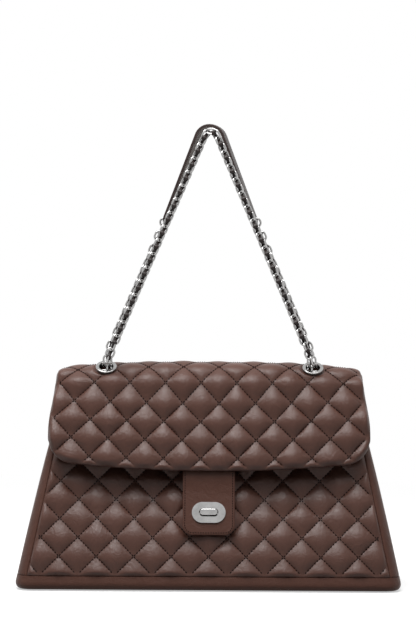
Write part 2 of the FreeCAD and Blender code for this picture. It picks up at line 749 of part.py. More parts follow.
def front_nodes():
    """All hooking points of the plain strand: up the right leg, over the top link and down the left leg."""
    foot = elbow(-1)
    centre, end, turn = front_bend()
    curve = FRONT_APEX_RADIUS * turn
    leg = end - foot[-1]
    links = FRONT_LINKS / 2 - len(foot) + 1
    pitch = (curve + leg.Length) / links
    left = list(foot)
    for i in range(1, int(links) + 1):
        run = i * pitch
        if run < leg.Length:
            left.append(foot[-1] + leg * (run / leg.Length))
        else:
            angle = (curve - (run - leg.Length)) / FRONT_APEX_RADIUS
            left.append(centre + V(math.sin(angle), 0, math.cos(angle)) * FRONT_APEX_RADIUS)
    return [mirrored(p) for p in left] + left[::-1]


def front_leg_nodes():
    """The hooking points of the left leg between the turned links at its foot and the bend at its top."""
    _, end, _ = front_bend()
    half = front_nodes()[: (FRONT_LINKS + 1) // 2]
    return [mirrored(p) for p in half[TILT_RAMP_LINKS + 2 :] if p.z < end.z]


def rear_nodes():
    """The hooking points of the rear strand's left half, from its pivot ring to the pad's end ring."""
    foot = elbow(1)
    place, down = pad_end()
    end = place + down * (PAD_RING_RADIUS - WIRE / 2)
    return foot + spaced(foot[-1], end, REAR_LINKS_PER_SIDE - len(foot) + 1)


def plain_link():
    """One oval link lying in the XY plane along X."""
    r = (LINK_WIDTH - WIRE) / 2
    x = (LINK_PITCH + LINK_SLACK + WIRE) / 2 - r
    edges = [
        line(V(-x, r, 0), V(x, r, 0)),
        arc(V(x, r, 0), V(x + r, 0, 0), V(x, -r, 0)),
        line(V(x, -r, 0), V(-x, -r, 0)),
        arc(V(-x, -r, 0), V(-x - r, 0, 0), V(-x, r, 0)),
    ]
    return tube(edges, WIRE / 2)


def facing(axis):
    """The direction across the strand that points to the front."""
    front = V(0, -1, 0)
    return unit(front - axis * front.dot(axis))


def placed_link(link, a, b, tilt):
    """A link between two hooking points, its flat turned by tilt from the front about its own axis."""
    axis = unit(b - a)
    front = facing(axis)
    wide = front * cos(tilt) + axis.cross(front) * sin(tilt)
    up = axis.cross(wide)
    middle = (a + b) / 2
    matrix = FreeCAD.Matrix(
        axis.x, wide.x, up.x, middle.x,
        axis.y, wide.y, up.y, middle.y,
        axis.z, wide.z, up.z, middle.z,
        0, 0, 0, 1,
    )
    return link.transformed(matrix, True)


def link_tilt(i, count):
    """Links cross at right angles; the first ones turn in steps until they lean left and right in turn."""
    from_end = min(i, count - 1 - i)
    ramp = min(max(from_end - 1, 0) / TILT_RAMP_LINKS, 1)
    return 90 * ((i + 1) % 2) + LINK_TILT * ramp


def chain(nodes):
    link = plain_link()
    count = len(nodes) - 1
    return [placed_link(link, nodes[i], nodes[i + 1], link_tilt(i, count)) for i in range(count)]


def weave(nodes, side_of_first):
    """A lace's path up a straight strand: in arcs, before one hooking point and behind the next."""
    edges = []
    side = side_of_first
    for a, b in zip(nodes, nodes[1:]):
        axis = unit(b - a)
        front = facing(axis)
        half = (b - a).Length / 2
        radius = (half**2 + LACE_SWING**2) / (2 * LACE_SWING)
        turn = math.asin(half / radius) / 2
        middle = (a + b) / 2
        for node, way, order in ((a, axis, 1), (b, axis * -1, -1)):
            out = front * side if order > 0 else front * -side
            centre = node + out * (LACE_SWING - radius)
            crest = node + out * LACE_SWING
            bend = centre + way * (radius * math.sin(turn)) + out * (radius * math.cos(turn))
            edges.append(arc(crest, bend, middle) if order > 0 else arc(middle, bend, crest))
        side = -side
    return edges


def front_lace():
    """The left-hand half of the plain strand's lace: woven up the leg, then laid in front over the bend."""
    nodes = front_leg_nodes()
    centre, end, turn = front_bend()
    before = V(0, -LACE_SWING, 0)
    join = TOUCH_GAP / FRONT_APEX_RADIUS
    angles = (join, (join + turn) / 2)
    top, middle = [centre + V(math.sin(a), 0, math.cos(a)) * FRONT_APEX_RADIUS for a in angles]
    side = -1 if len(nodes) % 2 == 0 else 1
    edges = weave(nodes, side)
    crest = nodes[-1] + facing(unit(nodes[-1] - nodes[-2])) * LACE_SWING
    edges.append(line(crest, end + before))
    edges.append(arc(end + before, middle + before, top + before))
    return tube(edges, LACE_RADIUS)


def rear_lace():
    nodes = rear_nodes()
    ramp = TILT_RAMP_LINKS + 2
    return tube(weave(nodes[ramp : len(nodes) - ramp], -1), LACE_RADIUS)


def pad_band(near, far):
    """One layer of the shoulder pad between two distances outside its inner face, bent over the apex."""
    angle = PAD_LIMB_ANGLE
    centre = V(0, 0, -PAD_INNER_RADIUS)
    down = V(sin(angle), 0, -cos(angle)) * PAD_LIMB_LENGTH
    across = V(PAD_WIDTH * sin(PAD_TWIST), PAD_WIDTH * cos(PAD_TWIST), 0)
    rims = []
    for radius in (PAD_INNER_RADIUS + near, PAD_INNER_RADIUS + far):
        side = centre + V(cos(angle), 0, sin(angle)) * radius
        rims.append((side, side + down, centre + V(0, 0, radius)))
    (in_side, in_end, in_top), (out_side, out_end, out_top) = rims
    edges = [
        line(mirrored(out_end), mirrored(out_side)),
        arc(mirrored(out_side), out_top, out_side),
        line(out_side, out_end),
        line(out_end, in_end),
        line(in_end, in_side),
        arc(in_side, in_top, mirrored(in_side)),
        line(mirrored(in_side), mirrored(in_end)),
        line(mirrored(in_end), mirrored(out_end)),
    ]
    band = prism(edges, across)
    band.translate(across / -2)
    for hole in pad_ring_holes():
        band = band.cut(hole)
    return band


def pad_ring_holes():
    place, down = pad_end()
    out = V(-down.z, 0, down.x)
    start = place - down * PAD_RING_RADIUS - out * OVERRUN
    hole = cylinder(PAD_RING_HOLE_RADIUS, 2 * OVERRUN, start, out)
    return [hole, hole.mirror(V(0, 0, 0), V(1, 0, 0))]


def strap():
    """Both strands and the pad; the right-hand pieces mirror the left-hand ones."""
    place, _ = pad_end()
    left = {
        "pivot_ring": Part.makeTorus(PIVOT_RING_RADIUS, WIRE / 2, ring_centre(), V(1, 0, 0)),
        "pad_ring": Part.makeTorus(PAD_RING_RADIUS, WIRE / 2, place, V(0, 1, 0)),
        "rear_chain": group(chain(rear_nodes())),
        "rear_lace": rear_lace(),
        "front_lace": front_lace(),
    }
    pieces = {
        "front_chain": group(chain(front_nodes())),
        "pad_leather": pad_band(PAD_LINING, PAD_LINING + PAD_LEATHER),
        "pad_lining": pad_band(0, PAD_LINING),
    }
    for name, shape in left.items():
        pieces["left_" + name] = shape
        pieces["right_" + name] = shape.mirror(V(0, 0, 0), V(1, 0, 0))
    return pieces


def main():
    os.makedirs("parts", exist_ok=True)
    pieces = {**body_walls(), **lining_bag(), **ridge_and_flap(), **eyelets()}
    pieces.update({**closing_tab(), **turn_lock(), **strap()})
    for name, shape in pieces.items():
        shape.exportStep(f"parts/{name}.step")
        print(f"{name}: {len(shape.Solids)} solids, {shape.Volume:.0f} mm3, valid {shape.isValid()}")
    fold = ridge_point(FOLD_ANGLE, 0)
    ring = ring_centre()
    print(f"fold axis y {fold.y:.3f} z {fold.z:.3f}; strap axis y {ring.y:.3f} z {ring.z:.3f}")


main()
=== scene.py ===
"""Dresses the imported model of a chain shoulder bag: quilted leather, stitches, laced chain, pad and studio."""

import json
import math

import bpy
import numpy as np
from bpy.props import FloatProperty, FloatVectorProperty, IntProperty, PointerProperty
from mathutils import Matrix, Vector


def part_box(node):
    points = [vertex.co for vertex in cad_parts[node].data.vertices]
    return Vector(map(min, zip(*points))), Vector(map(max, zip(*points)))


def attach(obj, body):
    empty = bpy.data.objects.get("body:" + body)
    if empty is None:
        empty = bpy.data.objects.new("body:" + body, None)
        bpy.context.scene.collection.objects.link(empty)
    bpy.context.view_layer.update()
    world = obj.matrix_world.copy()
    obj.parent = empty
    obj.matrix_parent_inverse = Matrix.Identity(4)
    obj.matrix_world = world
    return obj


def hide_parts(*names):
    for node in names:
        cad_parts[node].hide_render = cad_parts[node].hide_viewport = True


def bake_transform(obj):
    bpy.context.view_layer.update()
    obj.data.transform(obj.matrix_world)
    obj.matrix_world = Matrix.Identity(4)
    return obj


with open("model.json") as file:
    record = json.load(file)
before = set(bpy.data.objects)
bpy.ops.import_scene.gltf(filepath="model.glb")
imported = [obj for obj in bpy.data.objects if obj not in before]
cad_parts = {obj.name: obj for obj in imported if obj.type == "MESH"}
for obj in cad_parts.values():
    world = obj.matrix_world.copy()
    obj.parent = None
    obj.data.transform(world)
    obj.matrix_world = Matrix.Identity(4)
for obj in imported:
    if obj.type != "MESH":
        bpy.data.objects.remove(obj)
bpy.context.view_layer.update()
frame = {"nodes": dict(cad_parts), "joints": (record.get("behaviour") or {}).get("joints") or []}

bl_info = {
    "name": "Chain shoulder bag",
    "version": (1, 0, 0),
    "blender": (4, 5, 0),
    "location": "3D View > Sidebar > Shoulder bag",
    "description": "Builds the leather, stitches, chain and lace of a quilted bag on its packed model",
    "category": "Object",
}

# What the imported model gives
NODES = frame["nodes"]
JOINTS = {joint["name"]: np.array(joint["pos_m"]) for joint in frame["joints"]}
FOLD = JOINTS["flap_fold"]
LOCK = JOINTS["lock_turn"]
BASE_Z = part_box("base_panel")[0].z
BASE_SEAM_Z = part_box("front_panel")[0].z
FRONT_RIM_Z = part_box("front_panel")[1].z
RIM_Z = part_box("back_panel")[1].z
FLAP_LOW_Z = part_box("flap_leather")[0].z
FRONT_LINKS, REAR_LINKS = 71, 20

# Limits of the arithmetic
TINY = 1e-9
WELD = 1e-7
NORMAL_STEP = 2e-4
CREASE = math.radians(50)

# Soft passages of the forms: places along the leather in metres, or shares and powers
FALL_SHARE = 0.5  # of the flap's length, over which the ridge's fall dies out
END_STEEPEST = 0.97  # how far the ridge's ends turn down, 1 being upright
END_SHARE = 0.25  # of the ends' drop that is left on the flap
SPREAD_START, SPREAD_SHARE = -0.02, 0.75  # where the flap begins to widen, and over how much of it
SAG_START, SAG_REACH = -0.03, 0.06  # where the seam rows begin to sag, and over what run
RIDGE_FADE_START, RIDGE_FADE = -0.046, 0.05  # where the ridge's low puffs give way to the flap's
SWELL_POWER, PLEAT_POWER = 0.8, 1.5
EYELET_FLANGE = 0.0128  # radius of the eyelets' flange
EDGE_CREST = 0.25  # lightening along the plain edges, on the scale of the puffs' painted highlight, to that of a puff's top
LOCK_FLAT, LOCK_FLAT_START, LOCK_FLAT_FADE = (0.025, 0.017), 0.75, 0.5  # unquilted oval under the turn lock
PANEL_EDGE_ROUND = 0.0035
GUSSET_EDGE_ROUND, GUSSET_CELLS = 0.003, (0.003, 0.004)
FACING_GAP = 0.0002  # between the lining and the facing on it

# Stitches
STITCH_STEP = 0.02  # of a diamond's half, for a seam's direction
STITCH_LIFT = 0.32  # of the thread's thickness, above the leather
FLAP_STITCH_EDGE, PANEL_STITCH_EDGE = 0.006, 0.0055  # from the edge to the first stitch
EYELET_STITCH_GAP = 0.001  # how far a stitch may reach into the ring that is pressed flat
EDGE_STITCH_SHIFT = 0.0001  # of the edge stitches: out from the tab's face, into the pad's
FLAP_SEAMS, PANEL_SEAMS = 12, 14  # seams of each slant to either side of a crossing

# Tab and pad
TAB_EDGE_ROUND, TAB_RIM, TAB_CELL = 0.0011, 0.0006, 0.0012
TAB_SAMPLES, TAB_CORNER_STEPS, TAB_PATH_STEPS, PAD_SAMPLES = 400, 12, 60, 600  # points along paths
TAB_BULGE_SHARE = 0.6  # of the way to the lock, over which the flap's bulge dies out
TAB_STITCH_INSET, TAB_STITCH_START, TAB_STITCH_PITCH, TAB_STITCH_SCALE = 0.0026, 0.004, 0.0030, 0.8
PAD_EDGE_ROUND, PAD_CORNER, PAD_CROWN, PAD_CELLS = 0.0009, 0.007, 0.0005, (0.0015, 0.0014)
PAD_TURNED = 0.9  # of the outer layer's thickness, turned down over the lining's edge
PAD_STITCH_INSET, PAD_STITCH_START, PAD_STITCH_PITCH, PAD_STITCH_SCALE = 0.0024, 0.004, 0.0034, 0.6

# Studio
WHITE = (1.0, 1.0, 1.0, 1.0)
LAMPS = {"key": ((-0.32, -0.54, 0.96), (1.5, 0.7)), "top": ((0.0, -0.29, 0.90), (1.2, 0.3))}  # place, size
LAMP_AIM = (0.0, -0.06, -0.38)
FLOOR_RADIUS, FLOOR_SIDES, FLOOR_GAP = 6.0, 96, 0.0012
FLOOR_FADE = (0.7, 1.7, 0.5, 0.0)  # distances from the top of the strap, and the floor's own shade at each
LIGHT_BEHIND = (-0.15, 0.3, 0.06, 1.0)  # directions, from the front to behind, and the light at each
LIGHT_ABOVE = (0.45, 0.85, 0.0, 1.0)  # directions, from level to overhead, and the light at each


def length(name, default, description):
    return FloatProperty(name=name, description=description, default=default, unit="LENGTH", precision=4)


def angle(name, degrees, description):
    return FloatProperty(name=name, description=description, default=math.radians(degrees), subtype="ANGLE")


def share(name, default, description):
    return FloatProperty(name=name, description=description, default=default, min=0.0, subtype="FACTOR")


def number(name, default, least, description):
    return IntProperty(name=name, description=description, default=default, min=least)


def colour(name, tone, description):
    return FloatVectorProperty(
        name=name, description=description, default=(*tone, 1.0), size=4, min=0.0, max=1.0, subtype="COLOR"
    )


class BodySizes(bpy.types.PropertyGroup):
    """The soft shell of the bag below its ridge."""

    rim_half_width: length("Rim half width", 0.187, "Half the body's width at its rim")
    base_half_width: length("Base half width", 0.231, "Half the body's width at its base")
    corner_radius: length("Corner radius", 0.022, "Round of the body's upright corners")
    seam_inset: length("Seam inset", 0.012, "From the body's side to the seams of front and back")
    wall: length("Wall", 0.005, "Leather and wadding of the walls")
    front_slope: angle("Front slope", 17, "Lean of the front and the flap")
    back_slope: angle("Back slope", 6, "Lean of the back")
    front_belly: length("Front belly", 0.0015, "How far the front swells between its seams")
    front_hollow: length("Front hollow", 0.016, "How far the front sinks in behind the flap's edge")
    hollow_reach: length("Hollow reach", 0.060, "How far that hollow reaches up and down")
    back_belly: length("Back belly", 0.003, "How far the back swells between its seams")
    pleat: length("Gusset pleat", 0.011, "How far the gussets fold in at the rim")
    lock_dent: length("Lock dent", 0.05, "Reach of the flat that the turn lock presses into the front")
    base_round: length("Base round", 0.009, "Round along the base's edge")
    base_wall: length("Base wall", 0.004, "Thickness of the base")
    lining: length("Lining", 0.001, "Thickness of the cloth lining")
    lining_inset: length("Lining inset", 0.0056, "From the walls' outer face to the lining")
    lining_floor: length("Lining floor", 0.0072, "From the base's underside to the lining's floor")
    facing_height: length("Facing height", 0.026, "Height of the leather facing inside the mouth")
    facing: length("Facing", 0.0012, "Thickness of the facing")


class FlapSizes(bpy.types.PropertyGroup):
    """The ridge, the flap that folds down from it, and the closing tab."""

    ridge_radius: length("Ridge radius", 0.036, "Round of the ridge's outer face")
    fold_angle: angle("Fold angle", 60, "From the ridge's crest forwards to the fold")
    top_half_width: length("Top half width", 0.1865, "Half the flap's width at the ridge")
    bottom_half_width: length("Bottom half width", 0.1935, "Half the flap's width above its corners")
    corner_radius: length("Corner radius", 0.034, "Round of the flap's lower corners")
    bow: length("Bow", 0.0084, "How far the lower edge bows down in the middle")
    thickness: length("Thickness", 0.005, "Leather and wadding of the flap")
    lining: length("Lining", 0.0016, "Leather lining under the flap")
    lining_margin: length("Lining margin", 0.003, "From the flap's edge to its lining")
    panel_gap: length("Panel gap", 0.009, "Between the flap and the front behind it")
    ridge_fall: length("Ridge fall", 0.0085, "How far the ridge's ends hang below its middle")
    bulge: length("Bulge", 0.002, "How far the flap's middle stands out")
    end_drop: length("End drop", 0.007, "How far the ridge's ends round off")
    end_reach: length("End reach", 0.02, "Where the ridge's ends begin to round off")
    edge_round: length("Edge round", 0.0042, "Round of the flap's free edge")
    bend_reach: length("Bend reach", 0.013, "Leather that bends when the flap opens")
    eyelet_half_spacing: length("Eyelet half spacing", 0.1254, "From the middle to an eyelet")
    eyelet_angle: angle("Eyelet angle", 32, "From the ridge's crest forwards to the eyelets")
    eyelet_hole: length("Eyelet hole", 0.0098, "Radius of the holes for the eyelets")
    eyelet_press: length("Eyelet press", 0.0165, "Where the leather is pressed flat round an eyelet")
    eyelet_seat: length("Eyelet seat", 0.0015, "How deep the eyelets press into the ridge")
    tab_half_width: length("Tab half width", 0.031, "Half the closing tab's width")
    tab_overlap: length("Tab overlap", 0.038, "How far the tab reaches up behind the flap")
    tab_reach: length("Tab reach", 0.076, "How far the tab reaches below the flap")
    tab_thickness: length("Tab thickness", 0.0024, "Thickness of the tab")
    tab_corner: length("Tab corner", 0.012, "Round of the tab's lower corners")
    tab_gap: length("Tab gap", 0.0001, "Between the flap's lining and the tab")
    slot_radius: length("Slot radius", 0.0051, "Half the height of the slot for the knob")
    slot_half_length: length("Slot half length", 0.0068, "Half the straight run of the slot")


class QuiltSizes(bpy.types.PropertyGroup):
    """The diamond quilting and its stitches."""

    across: length("Across", 0.0444, "Width of a diamond")
    down: length("Down", 0.0455, "Height of a diamond")
    puff: length("Puff", 0.0057, "Height of a diamond's middle above its seams")
    sink: length("Sink", 0.0005, "Depth of the seams below the leather's plain face")
    ridge_puff: length("Ridge puff", 0.0020, "The same height on the ridge")
    ridge_sink: length("Ridge sink", 0.0006, "The same depth on the ridge")
    panel_share: share("Panel share", 0.80, "Height of the puffs on front and back, to those of the flap")
    roundness: share("Roundness", 0.76, "Power of the puff's rise: less is fuller")
    uneven: share("Unevenness", 0.10, "How much fuller or flatter a diamond may be than the next")
    lean: share("Lean", 0.30, "How far a diamond's top may lie off its middle")
    cells: number("Cells", 30, 8, "Mesh cells along a diamond")
    margin: length("Margin", 0.0055, "Where the quilting fades out along an edge")
    lining_cell: length("Lining cell", 0.003, "Mesh cell of the flap's lining")
    sag: length("Sag", 0.0055, "How far the flap's seam rows hang down in the middle")
    flap_across: length("Flap place across", -0.0103, "A seam crossing on the flap, across")
    flap_up: length("Flap place up", 0.0145, "The same crossing's height above the flap's edge")
    front_across: length("Front place across", 0.0, "A seam crossing on the front, across")
    front_down: length("Front place down", 0.0832, "The same crossing's place below the front's rim")
    stitch: length("Stitch", 0.0026, "Length of a stitch")
    thread: length("Thread", 0.0014, "Thickness of the thread")
    per_side: number("Stitches per side", 8, 2, "Stitches on a diamond's side")


class StrapSizes(bpy.types.PropertyGroup):
    """The chain's links, the lace through them and the shoulder pad."""

    wire: length("Wire", 0.0024, "Thickness of a link's wire")
    link_length: length("Link length", 0.0143, "Outer length of a link")
    link_width: length("Link width", 0.012, "Outer width of a link")
    lace_width: length("Lace width", 0.0066, "Width of the lace where it shows")
    lace_pinch: length("Lace pinch", 0.0040, "Width of the lace where it passes through a link")
    lace_thickness: length("Lace thickness", 0.0019, "Thickness of the lace")
    lace_swing: length("Lace swing", 0.0046, "How far the lace swings before and behind the links")
    pad_radius: length("Pad radius", 0.015, "Inner round of the pad at its top")
    pad_limb: length("Pad limb", 0.114, "Straight run of the pad on each side")
    pad_lean: angle("Pad lean", 20.6, "Lean of the pad's limbs")
    pad_twist: angle("Pad twist", 12, "Turn of the pad about the upright")
    pad_width: length("Pad width", 0.022, "Width of the pad")
    pad_layer: length("Pad layer", 0.0017, "Thickness of each of the pad's two layers")
    pad_hole: length("Pad hole", 0.0018, "Radius of the holes for the pad's rings")
    pad_hole_inset: length("Pad hole inset", 0.0055, "From the pad's end to its ring's hole")


class BagColours(bpy.types.PropertyGroup):
    """Linear colours of the finishes."""

    leather: colour("Leather", (0.068, 0.0285, 0.0197), "The bag's leather")
    # On the quilting the seams' colour is painted shade and the puffs' colour a painted highlight; elsewhere
    # both are the ends of a random mottle
    leather_dark: colour("Leather in seams", (0.066, 0.0275, 0.0190), "The leather down in its seams")
    leather_worn: colour("Leather on puffs", (0.080, 0.0350, 0.0255), "The leather where it is rubbed")
    lining: colour("Lining leather", (0.060, 0.030, 0.022), "The leather under the flap and in the mouth")
    # painted reflection: the inner face's pale taupe stands in for the white surroundings' sheen on its glossy
    # leather
    pad_lining: colour("Pad lining", (0.215, 0.180, 0.160), "The pad's inner face")
    pad: colour("Pad leather", (0.020, 0.0105, 0.0085), "The pad's outer face and edges")
    pad_worn: colour("Pad rubbed", (0.034, 0.0185, 0.0150), "The pad's outer face where it is rubbed")
    lace: colour("Lace", (0.010, 0.0055, 0.0045), "The lace through the chain")
    cloth: colour("Lining cloth", (0.085, 0.045, 0.035), "The cloth lining")
    thread: colour("Thread", (0.006, 0.0030, 0.0024), "The thread")
    metal: colour("Metal", (0.42, 0.415, 0.41), "The polished metal")
    board: colour("Board", (0.35, 0.27, 0.19), "The stiff board in the base")
    floor: colour("Floor", (0.90, 0.90, 0.90), "The studio's floor")
    bounce: colour("Floor light", (0.12, 0.12, 0.12), "The light that the floor throws back on the bag")


class StudioSettings(bpy.types.PropertyGroup):
    """The camera and the lamps."""

    distance: length("Camera distance", 2.6, "From the strap's plane to the camera")
    height: length("Camera height", -0.215, "The camera's height above the top of the strap")
    aim: length("Camera aim", -0.2248, "The height that the camera looks at")
    aside: length("Camera place aside", -0.0023, "The camera's place across")
    lens: FloatProperty(name="Lens", description="Focal length in millimetres", default=123.1)
    roll: angle("Camera roll", 0.35, "Turn of the camera about its view")
    key: FloatProperty(name="Key lamp", description="Power of the soft lamp in front, in watts", default=26.0)
    top: FloatProperty(name="Top lamp", description="Power of the narrow lamp overhead, in watts", default=8.0)


def sizes(*groups):
    """The scene's settings of the named groups."""
    return [getattr(bpy.context.scene, "bag_" + group) for group in groups]


# Mesh building


def smooth(t):
    """Eases from 0 to 1: 3t^2 - 2t^3 of t held between 0 and 1."""
    t = np.clip(t, 0.0, 1.0)
    return t * t * (3.0 - 2.0 * t)


def unit(v):
    """Vectors divided by their lengths."""
    return v / np.maximum(np.linalg.norm(v, axis=-1, keepdims=True), TINY)


def sign(x):
    """-1 left of the middle, and 1 from there on."""
    return np.where(x < 0, -1.0, 1.0)


def along_axes(t, places, values):
    """Values (n, 3) at places, read off in straight lines at t."""
    return np.stack([np.interp(t, places, values[:, i]) for i in range(3)], -1)


def put_mesh(name, points, *polygons):
    """Makes an object from points (n, 3) and arrays of polygons, each with its own corner count."""
    mesh = bpy.data.meshes.new(name)
    corners = np.concatenate([p.ravel() for p in polygons]).astype(np.int32)
    counts = np.concatenate([np.full(len(p), p.shape[1]) for p in polygons])
    mesh.vertices.add(len(points))
    mesh.vertices.foreach_set("co", np.ascontiguousarray(points, np.float32).ravel())
    mesh.loops.add(len(corners))
    mesh.loops.foreach_set("vertex_index", corners)
    mesh.polygons.add(len(counts))
    mesh.polygons.foreach_set("loop_start", (np.cumsum(counts) - counts).astype(np.int32))
    mesh.polygons.foreach_set("use_smooth", np.ones(len(counts), bool))
    mesh.update(calc_edges=True)
    mesh.validate()
    piece = bpy.data.objects.new(name, mesh)
    bpy.context.scene.collection.objects.link(piece)
    return piece


def tube_sides(rings, sides, closed=False):
    """Quads between the neighbouring rings of a tube; a closed one joins its last ring to its first."""
    i, j = np.meshgrid(np.arange(rings if closed else rings - 1), np.arange(sides), indexing="ij")
    i2, j2 = (i + 1) % rings, (j + 1) % sides
    return np.stack([i * sides + j, i * sides + j2, i2 * sides + j2, i2 * sides + j], -1).reshape(-1, 4)


def tube_caps(rings, sides):
    """The polygons that close a tube's first and last ring."""
    ring = np.arange(sides)
    return np.stack([ring[::-1], (rings - 1) * sides + ring])


def copies(faces, count, points):
    """The same faces for each of count copies of a shape with so many points."""
    return (faces + (np.arange(count) * points)[:, None, None]).reshape(-1, faces.shape[1])


def surface_normals(base, a, b, towards):
    """Unit normals of a surface base(a, b), from the cross product of its central differences.

    Those that point away from the direction towards are turned round.
    """
    e = NORMAL_STEP
    n = unit(np.cross(base(a + e, b) - base(a - e, b), base(a, b + e) - base(a, b - e)))
    return np.where(np.sum(n * towards, -1, keepdims=True) < 0, -n, n)


def shell(name, outer, inner, keep=None, height=None):
    """Closes two grids of points into one skin: both faces, and a wall along every free edge.

    Points of the outer grid that coincide are welded, so closed rings and poles leave no edge. Each cell is
    split along the diagonal whose ends lie lower, so that a seam along a diagonal stays sharp.
    """
    rows, columns = outer.shape[:2]
    count = rows * columns
    keys = np.round(outer.reshape(-1, 3) / WELD).astype(np.int64)
    _, first, weld = np.unique(keys, axis=0, return_index=True, return_inverse=True)
    grid = first[weld.ravel()].reshape(rows, columns)
    a, b, c, d = grid[:-1, :-1], grid[:-1, 1:], grid[1:, 1:], grid[1:, :-1]
    level = np.zeros((rows, columns)) if height is None else height
    split = (level[:-1, :-1] + level[1:, 1:] <= level[:-1, 1:] + level[1:, :-1])[..., None]
    one = np.where(split, np.stack([a, b, c], -1), np.stack([a, b, d], -1))
    two = np.where(split, np.stack([a, c, d], -1), np.stack([b, c, d], -1))
    if keep is not None:
        one, two = one[keep], two[keep]
    faces = np.concatenate([one.reshape(-1, 3), two.reshape(-1, 3)])
    faces = faces[(faces != np.roll(faces, 1, axis=1)).all(axis=1)]
    edges = np.concatenate([faces[:, [0, 1]], faces[:, [1, 2]], faces[:, [2, 0]]])
    code = edges.min(1) * count + edges.max(1)
    _, back, uses = np.unique(code, return_inverse=True, return_counts=True)
    p, q = edges[uses[back.ravel()] == 1].T
    wall = np.concatenate([np.stack([q, p, p + count], -1), np.stack([q, p + count, q + count], -1)])
    faces = np.concatenate([faces, faces[:, ::-1] + count, wall])
    points = np.concatenate([outer.reshape(-1, 3), inner.reshape(-1, 3)])
    corner = points[faces]
    volume = np.einsum("ij,ij->i", corner[:, 0], np.cross(corner[:, 1], corner[:, 2])).sum()
    if volume < 0:
        faces = faces[:, ::-1]
    used, compact = np.unique(faces, return_inverse=True)
    piece = put_mesh(name, points[used], compact.reshape(-1, 3))
    piece.data.set_sharp_from_angle(angle=CREASE)
    return piece, used


def layer(name, points, normals, near, far, keep=None, height=None):
    """A skin between two offsets of a surface along its normals: points + near normals, points + far normals."""
    outer, inner = (points + normals * np.asarray(offset)[..., None] for offset in (near, far))
    return shell(name, outer, inner, keep, height)


def mark_crest(piece, used, crest):
    """Stores how high in its puff each point of the outer face lies, and 0 inside, for the material, which
    paints shade in the seams and a highlight on the puffs by it.
    """
    both = np.concatenate([crest.ravel(), np.zeros(crest.size)])
    values = piece.data.attributes.new("crest", "FLOAT", "POINT").data
    values.foreach_set("value", both[used].astype(np.float32))


def ease_ends(low, high, step, edge, steps=6):
    """Places from low to high, a step apart, with closer ones over the edge at both ends."""
    near = edge * (1.0 - np.cos(np.linspace(0.0, math.pi / 2, steps)))
    middle = np.linspace(low + edge, high - edge, max(int(round((high - low - 2 * edge) / step)), 1) + 1)
    return np.concatenate([low + near[:-1], middle, (high - near[:-1])[::-1]])


def rounded_edge(depth, reach):
    """0 at an edge and 1 from reach inwards, along a quarter of a circle."""
    return np.sqrt(1.0 - (1.0 - np.clip(depth / reach, 0.0, 1.0)) ** 2)


def layer_offsets(depth, reach, thickness, rim=0.0012):
    """Offsets of the outer and inner face of a layer whose free edge is rounded to a narrow rim."""
    gone = (thickness - rim) / 2 * (1.0 - rounded_edge(depth, reach))
    return -gone, gone - thickness


def lost(mask):
    """Cells of a grid whose four corners are all in the mask."""
    return mask[:-1, :-1] & mask[:-1, 1:] & mask[1:, 1:] & mask[1:, :-1]


def drawn_in(dx, dw, r):
    """Points past a round corner of radius r, and all offsets from its centre scaled to its line."""
    far = np.hypot(dx, dw)
    shrink = r / np.maximum(far, TINY)
    return (dx > 0) & (dw > 0) & (far > r), dx * shrink, dw * shrink


def pushed_out(dx, dw, r):
    """Points inside a round hole of radius r, and all offsets from its centre with those moved to its line."""
    far = np.maximum(np.hypot(dx, dw), TINY)
    push = np.where(far < r, r / far, 1.0)
    return far < r, dx * push, dw * push


def corner_depth(dx, dw, r):
    """Distance inside an outline with round corners, from the offsets past the corner's centre."""
    return r - np.hypot(np.maximum(dx, 0.0), np.maximum(dw, 0.0))


def dress(piece, kind, body=None, replaces=()):
    """Gives a piece its finish and its slot, the nodes it stands for and the body it rides on."""
    piece.data.materials.append(finish(kind))
    if replaces:
        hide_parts(*replaces)
    if body:
        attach(piece, body)


def dress_nodes(kind, *names):
    """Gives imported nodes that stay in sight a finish."""
    for name in names:
        mesh = NODES[name].data
        mesh.materials.clear()
        mesh.materials.append(finish(kind))


def bend_with_flap(piece):
    """Bakes a piece's transform into its mesh."""
    (flap,) = sizes("flap")
    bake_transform(piece)


# The bag's forms


def ridge_centre(flap):
    """The centre of the ridge's round, one radius inside the fold."""
    r = flap.ridge_radius
    return FOLD[1] + r * math.sin(flap.fold_angle), FOLD[2] - r * math.cos(flap.fold_angle)


def ridge_around(flap, body):
    """Arc length of the ridge's round between the two slopes."""
    return flap.ridge_radius * (math.pi - body.front_slope - body.back_slope)


def ridge_turn(w, flap, body):
    """The outer face's turn from the crest at arc length w, counted from where the round meets the slope."""
    front, back = math.pi / 2 - body.front_slope, body.back_slope - math.pi / 2
    return np.clip(front + w / flap.ridge_radius, back, front)


def outward(w, flap, body):
    """The section's plain normal at arc length w: (0, -sin turn, cos turn)."""
    turn = ridge_turn(w, flap, body)
    return np.stack([0.0 * turn, -np.sin(turn), np.cos(turn)], -1)


def ridge_section(w, depth, flap, body):
    """The section of ridge and flap: down the slope for w > 0, round the crest and down the back for w < 0."""
    r = flap.ridge_radius - depth
    y, z = ridge_centre(flap)
    turn = ridge_turn(w, flap, body)
    down, rear = np.maximum(w, 0.0), np.maximum(-w - ridge_around(flap, body), 0.0)
    y = y - r * np.sin(turn) - down * math.sin(body.front_slope) + rear * math.sin(body.back_slope)
    z = z + r * np.cos(turn) - down * math.cos(body.front_slope) - rear * math.cos(body.back_slope)
    return y, z


def flap_run(flap, body):
    """Arc lengths of the rim at the back and of the flap's lowest point."""
    _, z = ridge_centre(flap)
    front_z = z + flap.ridge_radius * math.sin(body.front_slope)
    rear_z = z + flap.ridge_radius * math.sin(body.back_slope)
    back = -ridge_around(flap, body) - (rear_z - RIM_Z) / math.cos(body.back_slope)
    return back, (front_z - FLAP_LOW_Z) / math.cos(body.front_slope)


